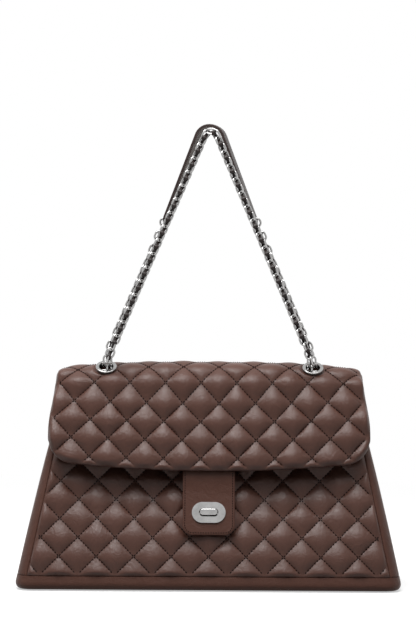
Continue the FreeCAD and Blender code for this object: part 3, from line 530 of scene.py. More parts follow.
def flap_edge(xi, flap, body):
    """The lower edge's arc length at a place across: bowed, w = end - bow (x / half)^2."""
    _, end = flap_run(flap, body)
    half = flap.bottom_half_width - flap.corner_radius
    return end - flap.bow * np.minimum(np.abs(xi) / half, 1.0) ** 2


def flap_depth(xi, w, flap, body):
    """Distance inside the flap's outline, with round lower corners, and inside its seam at the back."""
    r = flap.corner_radius
    back, _ = flap_run(flap, body)
    qx = r - (flap.bottom_half_width - np.abs(xi))
    qw = r - (flap_edge(xi, flap, body) - w)
    return np.minimum(corner_depth(qx, qw, r) - np.minimum(np.maximum(qx, qw), 0.0), w - back)


def flap_surface(xi, w, flap, body):
    """The plain outer face of ridge and flap, a section lifted along its normal.

    The ridge falls off as |t|^3 to its ends, which round off in a quarter circle, and the flap bulges as
    1 - 2t^2, with t from -1 to 1 across. The width grows smoothly from the ridge down.
    """
    y, z = ridge_section(w, 0.0, flap, body)
    back, end = flap_run(flap, body)
    half = flap.bottom_half_width
    t = xi / half
    on_ridge = 1.0 - smooth(w / (FALL_SHARE * end))
    off_seam = smooth((w - back) / flap.ridge_radius)
    past = np.clip((np.abs(xi) - half + flap.end_reach) / flap.end_reach, 0.0, END_STEEPEST)
    drop_share = END_SHARE + (1.0 - END_SHARE) * on_ridge
    lift = -flap.ridge_fall * np.abs(t) ** 3 * on_ridge * off_seam
    lift = lift - flap.end_drop * (1.0 - np.sqrt(1.0 - past * past)) * drop_share
    lift = lift + flap.bulge * (1.0 - 2.0 * t * t) * smooth(w / end)
    spread = (half - flap.top_half_width) * smooth((w - SPREAD_START) / (SPREAD_SHARE * end))
    x = xi * (flap.top_half_width + spread) / half
    return np.stack([x, y, z], -1) + outward(w, flap, body) * lift[..., None]


def seam_sag(xi, om, quilt, flap):
    """How far a seam row hangs below a level one: most in the middle of the flap, none on the ridge."""
    t = xi / flap.bottom_half_width
    return quilt.sag * (1.0 - t * t) * smooth((om - SAG_START) / SAG_REACH)


def eyelet_place(flap, body):
    """The eyelets' arc length on the ridge."""
    return -flap.ridge_radius * (math.pi / 2 - body.front_slope - flap.eyelet_angle)


def eyelet_reach(xi, w, flap, body):
    """Distance along the leather from the nearer eyelet's axis."""
    x = np.abs(xi) * flap.top_half_width / flap.bottom_half_width - flap.eyelet_half_spacing
    return np.hypot(x, w - eyelet_place(flap, body))


def diamonds(a, b, quilt):
    """Puff of the quilting: |sin(pi p) sin(pi q)|^k, with p and q counting the seams of each slant.

    Each diamond i, j is a little fuller or flatter and leans its own way: the puff is multiplied by
    1 + uneven u + lean (v (p - i - 1/2) + w (q - j - 1/2)), where u, v and w are sines of i and j.
    """
    p = a / quilt.across + b / quilt.down
    q = a / quilt.across - b / quilt.down
    i, j = np.floor(p), np.floor(q)
    u, v, w = np.sin(2.1 * i + 1.7 * j + 0.4), np.sin(3.7 * i + 1.1 * j), np.sin(1.3 * i + 4.1 * j + 1.0)
    own = 1.0 + quilt.uneven * u + quilt.lean * (v * (p - i - 0.5) + w * (q - j - 0.5))
    return own * np.abs(np.sin(math.pi * p) * np.sin(math.pi * q)) ** quilt.roundness


def lightened(crest, fade):
    """How much lighter the leather is painted: by its height in the puff, as painted shade down in the seams and
    a painted highlight on the puffs' tops, and a little along the plain edges.
    """
    return np.clip(crest * fade + EDGE_CREST * (1.0 - fade), 0.0, 1.0)


def quilt_places(low, high, place, pitch, cells):
    """Grid places from low to high a cell apart, so that a seam crossing falls on a grid point."""
    step = pitch / cells
    first, last = math.floor((low - place) / step), math.ceil((high - place) / step)
    return place + step * np.arange(first, last + 1)


def quilt_seams(quilt, count, across, down):
    """Places of the stitches on both slants of seams about a crossing, and the seams' directions there."""
    line = np.arange(-count, count + 1)
    run = np.arange(-count * quilt.per_side, count * quilt.per_side) / quilt.per_side + 0.5 / quilt.per_side
    p, q = [v.ravel() for v in np.meshgrid(line, run, indexing="ij")]
    ones = np.ones_like(q)
    a = np.concatenate([p + q, q + p]) * quilt.across / 2 + across
    b = np.concatenate([p - q, q - p]) * quilt.down / 2 + down
    da = np.concatenate([ones, ones]) * quilt.across / 2
    db = np.concatenate([-ones, ones]) * quilt.down / 2
    return np.stack([a, b, da, db])


def half_width(z, body):
    """The body widens in a straight line from its rim to its base."""
    spread = body.rim_half_width - body.base_half_width
    return body.base_half_width + spread * (z - BASE_Z) / (RIM_Z - BASE_Z)


def front_y(z, body, flap):
    """The plain front at height z: in line with the flap's slope, behind its layers and a gap."""
    y, top = ridge_section(np.zeros(1), flap.thickness + flap.lining + flap.panel_gap, flap, body)
    return y[0] - (top[0] - z) * math.tan(body.front_slope)


def back_y(z, body, flap):
    """The plain back at height z: in line with the back's slope from the ridge's round."""
    r = flap.ridge_radius
    y, top = ridge_centre(flap)
    y, top = y + r * math.cos(body.back_slope), top + r * math.sin(body.back_slope)
    return y + (top - z) * math.tan(body.back_slope)


def loop_runs(z, body, flap):
    """Runs round half the body at height z: the front's flat, a corner, the side, and half the whole way."""
    r = body.corner_radius
    flat = half_width(z, body) - r
    corner = r * math.pi / 2
    side = back_y(z, body, flap) - front_y(z, body, flap) - 2 * r
    return flat, corner, side, 2 * flat + 2 * corner + side


def seam_runs(z, body, flap):
    """Arc lengths of the front and back seams from the front's middle."""
    r = body.corner_radius
    flat, _, _, half = loop_runs(z, body, flap)
    turn = r * math.asin((r - body.seam_inset) / r)
    return flat + turn, half - flat - turn


def bag_form(run, z, body, flap):
    """The body's soft outer face at arc length run from the front's middle, positive towards +X.

    A rounded rectangle at each height. The front swells, and sinks in behind the flap's edge as a bell, times
    1 - (run / seam)^4 and less at the lock. The back swells as 1 - (run / seam)^2, and the gussets fold in
    as a squared sine between their seams, most at the rim.
    """
    r = body.corner_radius
    flat, corner, side, half = loop_runs(z, body, flap)
    front_seam, back_seam = seam_runs(z, body, flap)
    s = np.abs(run)
    turn = np.clip((s - flat) / r, 0.0, math.pi / 2)
    along = np.clip(s - flat - corner, 0.0, side)
    turn_back = np.clip((s - flat - corner - side) / r, 0.0, math.pi / 2)
    rest = np.maximum(s - flat - 2 * corner - side, 0.0)
    x = np.minimum(s, flat) + r * np.sin(turn) - r * (1.0 - np.cos(turn_back)) - rest
    y = front_y(z, body, flap) + r * (1.0 - np.cos(turn)) + along + r * np.sin(turn_back)
    t = np.clip((z - BASE_Z) / (RIM_Z - BASE_Z), 0.0, 1.0)
    swell = np.sin(math.pi * t) ** SWELL_POWER
    dent = 1.0 - np.exp(-(x * x + (z - LOCK[2]) ** 2) / body.lock_dent**2)
    hollow = body.front_hollow * np.exp(-(((z - FLAP_LOW_Z) / body.hollow_reach) ** 2))
    y = y + (hollow - body.front_belly * swell) * np.clip(1.0 - (s / front_seam) ** 4, 0.0, 1.0) * dent
    y = y + body.back_belly * np.clip(1.0 - ((half - s) / (half - back_seam)) ** 2, 0.0, 1.0) * swell
    fold = np.clip((s - front_seam) / (back_seam - front_seam), 0.0, 1.0)
    x = x - body.pleat * np.sin(math.pi * fold) ** 2 * t**PLEAT_POWER
    return np.stack([np.where(run < 0, -x, x), y, z + 0.0 * x], -1)


def tub_rings(rows, body, flap, around=220):
    """Closed rings of the body at (height, inset) rows: the outer face moved in along its level normal."""
    z, inset = np.array(rows).T[:, :, None]
    half = loop_runs(z, body, flap)[3]
    run = np.linspace(-1.0, 1.0, around + 1)[None, :] * half
    ring = bag_form(run, z + 0.0 * run, body, flap)
    ring[:, -1] = ring[:, 0]
    ahead = np.concatenate([ring[:, 1:], ring[:, 1:2]], 1) - np.concatenate([ring[:, -2:-1], ring[:, :-1]], 1)
    inward = unit(np.stack([-ahead[..., 1], ahead[..., 0], 0.0 * ahead[..., 0]], -1))
    ring = ring + inward * inset[..., None]
    ring[:, -1] = ring[:, 0]
    return ring


def close_floor(ring, steps=10):
    """Rows from a level ring to its middle: ring (1 - k) + middle k."""
    middle = np.array([0.0, ring[:, 1].min() / 2 + ring[:, 1].max() / 2, ring[0, 2]])
    k = np.linspace(0.0, 1.0, steps + 1)[1:, None, None]
    return ring[None] * (1.0 - k) + middle * k


def tub(name, top, low, inset, thickness, body, flap, wall_rows, round_rows=7):
    """A soft tub inside the body's face: walls from top down, a round edge and a closed floor."""
    r = body.base_round
    faces = []
    for extra in (0.0, thickness):
        rows = [(z, inset + extra) for z in np.linspace(top, low + r, wall_rows)[:-1]]
        for t in np.linspace(0.0, math.pi / 2, round_rows):
            rows.append((low + r - (r - extra) * math.sin(t), inset + r - (r - extra) * math.cos(t)))
        rings = tub_rings(rows, body, flap)
        faces.append(np.concatenate([rings, close_floor(rings[-1])]))
    return shell(name, *faces)[0]


def band(name, top, low, inset, thickness, body, flap, rows=8):
    """A closed band inside the body's face between two heights."""
    heights = np.linspace(top, low, rows)
    faces = [tub_rings([(z, inset + extra) for z in heights], body, flap) for extra in (0.0, thickness)]
    return shell(name, *faces)[0]


def stitches(name, centre, along, up, quilt, scale=1.0, sides=5):
    """Threads as short five-sided beads: ends drawn in and pressed down, the middle standing up."""
    t = unit(along)
    u = unit(up - t * np.sum(up * t, -1, keepdims=True))
    v = np.cross(t, u)
    reach = np.array([-0.5, 0.0, 0.5]) * quilt.stitch * scale
    radius = np.array([0.7, 1.0, 0.7]) * quilt.thread / 2 * scale
    rise = np.array([-0.3, 0.12, -0.3]) * quilt.thread * scale
    turn = np.arange(sides) * 2 * math.pi / sides
    lift = rise[:, None] + radius[:, None] * np.sin(turn)
    side = radius[:, None] * np.cos(turn)
    points = (
        centre[:, None, None]
        + t[:, None, None] * reach[None, :, None, None]
        + u[:, None, None] * lift[None, :, :, None]
        + v[:, None, None] * side[None, :, :, None]
    )
    rings, count = len(reach), len(centre)
    faces = [copies(f, count, rings * sides) for f in (tube_sides(rings, sides), tube_caps(rings, sides))]
    piece = put_mesh(name, points.reshape(-1, 3), *faces)
    dress(piece, "thread")
    return piece


def sew(name, base, seams, up, height, quilt):
    """Stitches on the seams of a quilted face base(a, b): along their slant, a little above the leather."""
    a, b, da, db = seams
    e = STITCH_STEP
    along = base(a + e * da, b + e * db) - base(a - e * da, b - e * db)
    centre = base(a, b) + up * (height + STITCH_LIFT * quilt.thread)[:, None]
    return stitches(name, centre, along, up, quilt)


def rows_of_stitches(path, up, pitch):
    """Even places along a path of points, with the path's direction and the interpolated up there."""
    run = np.concatenate([[0.0], np.cumsum(np.linalg.norm(np.diff(path, axis=0), axis=1))])
    at = np.arange(pitch, run[-1] - pitch / 2, pitch)
    ahead, behind = along_axes(at + pitch / 4, run, path), along_axes(at - pitch / 4, run, path)
    return along_axes(at, run, path), ahead - behind, along_axes(at, run, up)


# Finishes: noise scales count features per metre, and bump distances are in metres


class Nodes:
    """Adds and links the nodes of a material or of the world."""

    def __init__(self, tree):
        self.tree = tree
        tree.nodes.clear()

    def put(self, socket, value):
        """Links a socket to another node's output, or sets its constant."""
        if isinstance(value, bpy.types.NodeSocket):
            self.tree.links.new(value, socket)
        else:
            socket.default_value = value

    def node(self, kind, values=None, **settings):
        """A new node with its settings, and its inputs' values by name or number."""
        node = self.tree.nodes.new("ShaderNode" + kind)
        for key, value in settings.items():
            setattr(node, key, value)
        for key, value in (values or {}).items():
            self.put(node.inputs[key], value)
        return node

    def add(self, kind, output, values=None, **settings):
        """The named output of a new node."""
        return self.node(kind, values, **settings).outputs[output]

    def math(self, operation, a, b):
        """The result of a math node."""
        return self.add("Math", "Value", {0: a, 1: b}, operation=operation)

    def weigh(self, a, share_a, b, share_b):
        """a times its share, plus b times its own."""
        return self.math("ADD", self.math("MULTIPLY", a, share_a), self.math("MULTIPLY", b, share_b))

    def remap(self, value, low, high, to_low, to_high, **settings):
        """A value's range from low to high, mapped to another."""
        names = ("Value", "From Min", "From Max", "To Min", "To Max")
        values = dict(zip(names, (value, low, high, to_low, to_high)))
        return self.add("MapRange", "Result", values, **settings)

    def seen(self):
        """1 for what the camera, metal and glass see, and 0 for light on its way to other surfaces."""
        path = self.node("LightPath").outputs
        ray = self.math("MAXIMUM", path["Is Camera Ray"], path["Is Glossy Ray"])
        return self.math("MAXIMUM", ray, path["Is Transmission Ray"])


class Finish(Nodes):
    """A material with one principled shader, whose constant sockets are set on it directly."""

    def __init__(self, name, **sockets):
        self.material = bpy.data.materials.get(name) or bpy.data.materials.new(name)
        self.material.use_nodes = True
        super().__init__(self.material.node_tree)
        self.shader = self.node("BsdfPrincipled", {key.replace("_", " "): sockets[key] for key in sockets})
        self.output = self.node("OutputMaterial", {"Surface": self.shader.outputs["BSDF"]})
        self.output.is_active_output = True
        self.place = self.add("TexCoord", "Object")

    def noise(self, scale, detail=3.0, roughness=0.55, distortion=0.0):
        """Cloudy noise over the piece's own coordinates."""
        values = {"Scale": scale, "Detail": detail, "Roughness": roughness, "Distortion": distortion}
        return self.add("TexNoise", "Fac", {"Vector": self.place, **values})

    def wave(self, scale, direction, distortion=0.0):
        """Even bands over the piece's own coordinates."""
        values = {"Vector": self.place, "Scale": scale, "Distortion": distortion}
        return self.add("TexWave", "Fac", values, bands_direction=direction)

    def tint(self, value, *stops):
        """Colours the shader by a ramp through (place, colour) stops."""
        node = self.node("ValToRGB", {"Fac": value})
        elements = node.color_ramp.elements
        while len(elements) < len(stops):
            elements.new(0.5)
        for element, (place, tone) in zip(elements, stops):
            element.position = place
            element.color = tuple(tone)
        self.put(self.shader.inputs["Base Color"], node.outputs["Color"])

    def rough(self, value, *ranges):
        """Varies the shader's roughness with a value."""
        self.put(self.shader.inputs["Roughness"], self.remap(value, *ranges))

    def bump(self, *layers):
        """Chains (height, strength, distance) bumps into the shader's normal."""
        normal = None
        for height, strength, distance in layers:
            values = {"Height": height, "Strength": strength, "Distance": distance}
            if normal:
                values["Normal"] = normal
            normal = self.add("Bump", "Normal", values)
        self.put(self.shader.inputs["Normal"], normal)


def shade(tone, k):
    """A colour k times as light, opaque."""
    return tuple(min(c * k, 1.0) for c in tone[:3]) + (1.0,)


def leather(name, dark, plain, worn, roughness=0.38, crest=False, grain=0.35, gloss=0.27):
    """Satin leather: wrinkles, creases, pebbled grain, cloudy tone, and by the crest darker seams as painted
    shade and lighter high places as a painted highlight.
    """
    f = Finish(name, Specular_IOR_Level=gloss)
    mottle = f.noise(210.0)
    tone, places = f.weigh(f.noise(26.0, 4.0), 0.6, mottle, 0.4), (0.25, 0.5, 0.8)
    if crest:
        # painted shade in the seams and a painted highlight on the puffs' tops, by their height
        high = f.add("Attribute", "Fac", attribute_name="crest")
        tone, places = f.weigh(tone, 0.5, high, 0.62), (0.18, 0.42, 0.95)
    f.tint(tone, *zip(places, (dark, plain, worn)))
    f.rough(mottle, 0.3, 0.7, roughness - 0.05, roughness + 0.07)
    wrinkle, crease = f.noise(85.0, 4.0, 0.6, 1.4), f.noise(330.0, 5.0, 0.6, 0.8)
    pebble = f.add("TexVoronoi", "Distance", {"Vector": f.place, "Scale": 1150.0, "Randomness": 1.0})
    f.bump((wrinkle, grain, 0.0022), (crease, grain * 1.3, 0.0004), (pebble, grain, 0.00008))
    return f.material


def metal(name, tone):
    """Polished metal with faint rubbing marks and smudges."""
    f = Finish(name, Metallic=1.0)
    smudge = f.noise(95.0, 4.0, 0.6)
    f.tint(smudge, (0.3, shade(tone, 0.82)), (0.62, tone))
    f.rough(smudge, 0.3, 0.75, 0.1, 0.24)
    f.bump((f.noise(1400.0, 2.0), 0.06, 0.0002))
    return f.material


def twisted_thread(name, tone):
    """Twisted thread: fine slanting ridges, a little lighter on their tops as a painted highlight."""
    f = Finish(name, Roughness=0.62, Specular_IOR_Level=0.06)
    twist = f.wave(900.0, "DIAGONAL", 1.5)
    f.tint(twist, (0.2, tone), (0.9, shade(tone, 2.1)))
    f.bump((twist, 0.4, 0.0002))
    return f.material


def woven_cloth(name, tone):
    """Fine woven lining: two crossed sets of yarns with a slubby tone."""
    f = Finish(name, Roughness=0.78, Sheen_Weight=0.15)
    weave = f.math("MULTIPLY", f.wave(420.0, "X"), f.wave(420.0, "Z"))
    f.tint(f.weigh(weave, 0.5, f.noise(160.0), 0.5), (0.1, shade(tone, 0.6)), (0.7, tone))
    f.bump((weave, 0.4, 0.0002))
    return f.material


def fibre_board(name, tone):
    """Pressed board with short fibres."""
    f = Finish(name, Roughness=0.85)
    fibre = f.noise(300.0, 6.0, 0.7, 1.2)
    f.tint(fibre, (0.3, shade(tone, 0.7)), (0.7, tone))
    f.bump((fibre, 0.3, 0.0004))
    return f.material


def finish(kind):
    """The named finish, made once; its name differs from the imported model's own materials."""
    name = kind + "_finish"
    made = bpy.data.materials.get(name)
    if made:
        return made
    (c,) = sizes("colours")
    brown = (c.leather_dark, c.leather, c.leather_worn)
    makers = {
        # the quilted leather paints shade in its seams and a highlight on its puffs; the other leathers mottle
        # these colours at random
        "quilted_leather": (leather, brown, {"crest": True}),
        "plain_leather": (leather, brown, {"roughness": 0.42, "gloss": 0.17}),
        "lining_leather": (leather, (c.leather_dark, c.lining, c.leather_worn), {"roughness": 0.52}),
        "pad_leather": (leather, (c.pad, c.pad, c.pad_worn), {"roughness": 0.4}),
        # painted reflection: the lining's pale taupe stands in for the white surroundings' sheen on it
        "pad_lining": (leather, (c.pad, c.pad_lining, c.pad_lining), {"roughness": 0.6}),
        "lace_leather": (leather, (c.lace, c.lace, c.pad), {"roughness": 0.42, "grain": 0.2}),
        "polished_metal": (metal, (c.metal,), {}),
        "thread": (twisted_thread, (c.thread,), {}),
        "lining_cloth": (woven_cloth, (c.cloth,), {}),
        "stiff_board": (fibre_board, (c.board,), {}),
    }
    maker, tones, options = makers[kind]
    return maker(name, *tones, **options)


# Operators


class BagOperator:
    """What the operators share: they run once and change the scene."""

    bl_options = {"REGISTER", "UNDO"}


class BAG_OT_flap(BagOperator, bpy.types.Operator):
    """Builds the quilted ridge and flap with their lining and stitches."""

    bl_idname = "bag.flap"
    bl_label = "Ridge and flap"

    def execute(self, context):
        body, flap, quilt = sizes("body", "flap", "quilt")
        back, end = flap_run(flap, body)
        half = flap.bottom_half_width
        crossing = end - quilt.flap_up - quilt.sag

        def face(xi, w):
            return flap_surface(xi, w, flap, body)

        def hung(xi, om):
            return om + seam_sag(xi, om, quilt, flap)

        across = quilt_places(-half, half, quilt.flap_across, quilt.across, quilt.cells)
        down = quilt_places(back, end, crossing, quilt.down, quilt.cells)
        xi, om = np.meshgrid(across, down)
        xi, w, keep = self.trim(xi, hung(xi, om), flap, body)
        height, crest = self.relief(xi, w, flap, body, quilt, crossing)
        normals = surface_normals(face, xi, w, outward(w, flap, body))
        near, far = layer_offsets(flap_depth(xi, w, flap, body), flap.edge_round, flap.thickness)
        piece, used = layer("flap_quilt", face(xi, w), normals, height + near, far, keep, height)
        mark_crest(piece, used, crest)
        nodes = ("ridge_leather", "ridge_wadding", "flap_leather", "flap_wadding")
        dress(piece, "quilted_leather", replaces=nodes)
        bend_with_flap(piece)

        across, down = np.arange(-half, half, quilt.lining_cell), np.arange(back, end, quilt.lining_cell)
        xi, w, keep = self.trim(*np.meshgrid(across, down), flap, body, flap.lining_margin)
        normals = surface_normals(face, xi, w, outward(w, flap, body))
        near, far = -flap.thickness, -(flap.thickness + flap.lining)
        piece, _ = layer("flap_lining_sheet", face(xi, w), normals, near, far, keep)
        dress(piece, "lining_leather", replaces=("ridge_lining", "flap_lining"))
        bend_with_flap(piece)

        seams = quilt_seams(quilt, FLAP_SEAMS, quilt.flap_across, crossing)
        xi, w = seams[0], hung(seams[0], seams[1])
        fits = flap_depth(xi, w, flap, body) > FLAP_STITCH_EDGE
        fits &= eyelet_reach(xi, w, flap, body) > flap.eyelet_press - EYELET_STITCH_GAP
        xi, w = xi[fits], w[fits]
        height, _ = self.relief(xi, w, flap, body, quilt, crossing)
        up = outward(w, flap, body)
        piece = sew("flap_stitches", lambda a, b: face(a, hung(a, b)), seams[:, fits], up, height, quilt)
        bend_with_flap(piece)
        return {"FINISHED"}

    def trim(self, xi, w, flap, body, inset=0.0):
        """Moves points outside the outline or inside an eyelet's hole onto its line; says which cells stay."""
        back = flap_run(flap, body)[0] + inset
        half, r = flap.bottom_half_width - inset, flap.corner_radius - inset
        edge = flap_edge(xi, flap, body) - inset
        cx, cw = half - r, flap_edge(np.array(half), flap, body) - inset - r
        side = sign(xi)
        corner, dx, dw = drawn_in(np.abs(xi) - cx, w - cw, r)
        out = (np.abs(xi) > half) | (w > edge) | (w < back) | corner
        xi = np.where(corner, side * (cx + dx), np.clip(xi, -half, half))
        w = np.where(corner, cw + dw, np.clip(w, back, edge))
        spacing, place = flap.eyelet_half_spacing, eyelet_place(flap, body)
        scale = flap.bottom_half_width / flap.top_half_width
        hole, ex, ew = pushed_out(np.abs(xi) / scale - spacing, w - place, flap.eyelet_hole)
        xi = np.where(hole, side * (spacing + ex) * scale, xi)
        w = np.where(hole, place + ew, w)
        return xi, w, ~(lost(out) | lost(hole))

    def relief(self, xi, w, flap, body, quilt, crossing):
        """Height of the quilting over the plain face, pressed flat round the eyelets, and how far it is painted
        lighter: painted shade in the seams, a painted highlight on the puffs.
        """
        om = w - seam_sag(xi, w, quilt, flap)
        crest = diamonds(xi - quilt.flap_across, om - crossing, quilt)
        fade = smooth(flap_depth(xi, w, flap, body) / quilt.margin)
        ridge = 1.0 - smooth((w - RIDGE_FADE_START) / RIDGE_FADE)
        puff = quilt.puff + (quilt.ridge_puff - quilt.puff) * ridge
        sink = quilt.sink + (quilt.ridge_sink - quilt.sink) * ridge
        height = (puff * crest - sink) * fade
        t = w - eyelet_place(flap, body)
        seat = t * t / (2 * flap.ridge_radius) - flap.eyelet_seat
        reach = eyelet_reach(xi, w, flap, body)
        press = 1.0 - smooth((reach - EYELET_FLANGE) / (flap.eyelet_press - EYELET_FLANGE))
        # the second value paints shade in the seams and a highlight on the puffs' tops
        return height + (seat - height) * press, lightened(crest, fade)


class BAG_OT_panels(BagOperator, bpy.types.Operator):
    """Builds the quilted front and back with their stitches."""

    bl_idname = "bag.panels"
    bl_label = "Front and back"

    def execute(self, context):
        (body,) = sizes("body")
        self.panel("front", FRONT_RIM_Z, body.front_slope, ("front_panel", "front_wadding"))
        self.panel("back", RIM_Z, body.back_slope, ("back_panel", "back_wadding"))
        return {"FINISHED"}

    def panel(self, side, top, slope, nodes):
        """One panel on the body's soft face, trimmed to its seams, its puffs fading out along them.

        Places on it are a across from its middle and b down its slope from the rim.
        """
        body, flap, quilt = sizes("body", "flap", "quilt")
        front = side == "front"
        tall = (top - BASE_SEAM_Z) / math.cos(slope)
        wide = seam_runs(BASE_SEAM_Z, body, flap)[0]
        crossing = quilt.front_down
        towards = np.array([0.0, -1.0 if front else 1.0, 0.0])

        def seam(b):
            return seam_runs(top - b * math.cos(slope), body, flap)[0]

        def face(a, b):
            z = top - b * math.cos(slope)
            half = loop_runs(z, body, flap)[3]
            return bag_form(a if front else sign(a) * (half - np.abs(a)), z, body, flap)

        def relief(a, b):
            inside = np.minimum(np.minimum(seam(b) - np.abs(a), b), tall - b)
            crest = diamonds(a - quilt.front_across, b - crossing, quilt)
            fade = smooth(inside / quilt.margin)
            if front:
                drop = (top - LOCK[2]) / math.cos(slope)
                from_lock = np.hypot(a / LOCK_FLAT[0], (b - drop) / LOCK_FLAT[1])
                fade = fade * smooth((from_lock - LOCK_FLAT_START) / LOCK_FLAT_FADE)
            # the second value paints shade in the seams and a highlight on the puffs' tops
            return (quilt.panel_share * quilt.puff * crest - quilt.sink) * fade, lightened(crest, fade), inside

        across = quilt_places(-wide, wide, quilt.front_across, quilt.across, quilt.cells)
        a, b = np.meshgrid(across, quilt_places(0.0, tall, crossing, quilt.down, quilt.cells))
        out = (np.abs(a) > seam(b)) | (b < 0) | (b > tall)
        b = np.clip(b, 0.0, tall)
        a = np.clip(a, -seam(b), seam(b))
        height, crest, inside = relief(a, b)
        near, far = layer_offsets(inside, PANEL_EDGE_ROUND, body.wall)
        normals = surface_normals(face, a, b, towards)
        piece, used = layer(side + "_quilt", face(a, b), normals, height + near, far, ~lost(out), height)
        mark_crest(piece, used, crest)
        dress(piece, "quilted_leather", "bag", nodes)

        seams = quilt_seams(quilt, PANEL_SEAMS, quilt.front_across, crossing)
        seams = seams[:, (np.abs(seams[0]) < wide) & (seams[1] > 0) & (seams[1] < tall)]
        height, _, inside = relief(seams[0], seams[1])
        fits = (inside > PANEL_STITCH_EDGE) & (height < 0.0)
        seams = seams[:, fits]
        up = surface_normals(face, seams[0], seams[1], towards)
        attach(sew(side + "_stitches", face, seams, up, height[fits], quilt), "bag")


class BAG_OT_gussets(BagOperator, bpy.types.Operator):
    """Builds the two gussets, which fold in at the rim."""

    bl_idname = "bag.gussets"
    bl_label = "Gussets"

    def execute(self, context):
        self.gusset("left_gusset", 1.0)
        self.gusset("right_gusset", -1.0)
        return {"FINISHED"}

    def gusset(self, name, side):
        """One gusset on the body's soft face, a across it from the front's seam and b down from the rim."""
        body, flap = sizes("body", "flap")
        reach, tall = GUSSET_EDGE_ROUND, RIM_Z - BASE_SEAM_Z
        low, high = seam_runs(0.5 * (RIM_Z + BASE_SEAM_Z), body, flap)
        wide = high - low

        def face(a, b):
            first, last = seam_runs(RIM_Z - b, body, flap)
            return bag_form(side * (first + (last - first) * a / wide), RIM_Z - b, body, flap)

        across = ease_ends(0.0, wide, GUSSET_CELLS[0], reach)
        a, b = np.meshgrid(across, ease_ends(0.0, tall, GUSSET_CELLS[1], reach))
        inside = np.minimum(np.minimum(a, wide - a), np.minimum(b, tall - b))
        normals = surface_normals(face, a, b, np.array([side, 0.0, 0.0]))
        piece, _ = layer(name + "_panel", face(a, b), normals, *layer_offsets(inside, reach, body.wall))
        dress(piece, "plain_leather", "bag", (name,))


class BAG_OT_base(BagOperator, bpy.types.Operator):
    """Builds the base that wraps up the walls, and the lining with its facing."""

    bl_idname = "bag.base"
    bl_label = "Base and lining"

    def execute(self, context):
        body, flap = sizes("body", "flap")
        piece = tub("base_tray", BASE_SEAM_Z, BASE_Z, 0.0, body.base_wall, body, flap, wall_rows=6)
        dress(piece, "plain_leather", "bag", ("base_panel",))
        inset, low = body.lining_inset, BASE_Z + body.lining_floor
        piece = tub("lining_pouch", FRONT_RIM_Z, low, inset, body.lining, body, flap, wall_rows=24)
        dress(piece, "lining_cloth", "bag", ("lining_bag",))
        inset, low = inset + body.lining + FACING_GAP, FRONT_RIM_Z - body.facing_height
        piece = band("mouth_band", FRONT_RIM_Z, low, inset, body.facing, body, flap)
        dress(piece, "lining_leather", "bag", ("mouth_facing",))
        dress_nodes("stiff_board", "base_board")
        return {"FINISHED"}


class BAG_OT_tab(BagOperator, bpy.types.Operator):
    """Builds the closing tab with its slot and edge stitches."""

    bl_idname = "bag.tab"
    bl_label = "Closing tab"

    def execute(self, context):
        body, flap, quilt = sizes("body", "flap", "quilt")
        _, end = flap_run(flap, body)
        half, reach, r = flap.tab_half_width, TAB_EDGE_ROUND, flap.tab_corner
        top, low = end - flap.tab_overlap, end + flap.tab_reach
        run = np.linspace(top, low, TAB_SAMPLES)
        lock = np.interp(-LOCK[2], -ridge_section(run, 0.0, flap, body)[1], run)
        n = np.array([0.0, -math.cos(body.front_slope), math.sin(body.front_slope)])

        def face(a, b):
            y, z = ridge_section(b, 0.0, flap, body)
            lift = flap.bulge * smooth(b / end) * (1.0 - smooth((b - end) / (TAB_BULGE_SHARE * (lock - end))))
            lift = lift - flap.thickness - flap.lining - flap.tab_gap
            return np.stack([a, y, z], -1) + n * lift[..., None]

        x, w = np.meshgrid(ease_ends(-half, half, TAB_CELL, reach), ease_ends(top, low, TAB_CELL, reach))
        corner, dx, dw = drawn_in(np.abs(x) - half + r, w - low + r, r)
        x, w = np.where(corner, sign(x) * (half - r + dx), x), np.where(corner, low - r + dw, w)
        middle = np.clip(x, -flap.slot_half_length, flap.slot_half_length)
        hole, dx, dw = pushed_out(x - middle, w - lock, flap.slot_radius)
        x, w = middle + dx, lock + dw
        inside = np.minimum(corner_depth(np.abs(x) - half + r, w - low + r, r), w - top)
        near, far = layer_offsets(inside, reach, flap.tab_thickness, TAB_RIM)
        piece, _ = layer("tab_leather", face(x, w), n, near, far, ~(lost(corner) | lost(hole)))
        dress(piece, "plain_leather", "flap", ("closing_tab",))

        inset, start = TAB_STITCH_INSET, top + TAB_STITCH_START
        turn = np.linspace(0.0, math.pi / 2, TAB_CORNER_STEPS)
        x, w = half - r + (r - inset) * np.cos(turn), low - r + (r - inset) * np.sin(turn)
        x = np.concatenate([[half - inset], x, -x[::-1], [inset - half]])
        w = np.concatenate([[start], w, w[::-1], [start]])
        dense = np.linspace(0, len(x) - 1, TAB_PATH_STEPS * len(x))
        x, w = np.interp(dense, np.arange(len(x)), x), np.interp(dense, np.arange(len(w)), w)
        path = face(x, w) + n * EDGE_STITCH_SHIFT
        row = rows_of_stitches(path, np.broadcast_to(n, path.shape), TAB_STITCH_PITCH)
        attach(stitches("tab_stitches", *row, quilt, TAB_STITCH_SCALE), "flap")
        return {"FINISHED"}


class BAG_OT_metal(BagOperator, bpy.types.Operator):
    """Gives the eyelets, rings and turn lock their polished finish."""

    bl_idname = "bag.metal"
    bl_label = "Eyelets and lock"

    def execute(self, context):
        names = ["lock_base", "lock_backing", "lock_front_plate", "lock_rear_plate", "lock_knob"]
        for side in ("left_", "right_"):
            names += [side + n for n in ("eyelet", "eyelet_washer", "eyelet_pin", "pivot_ring", "pad_ring")]
        dress_nodes("polished_metal", *names)
        return {"FINISHED"}


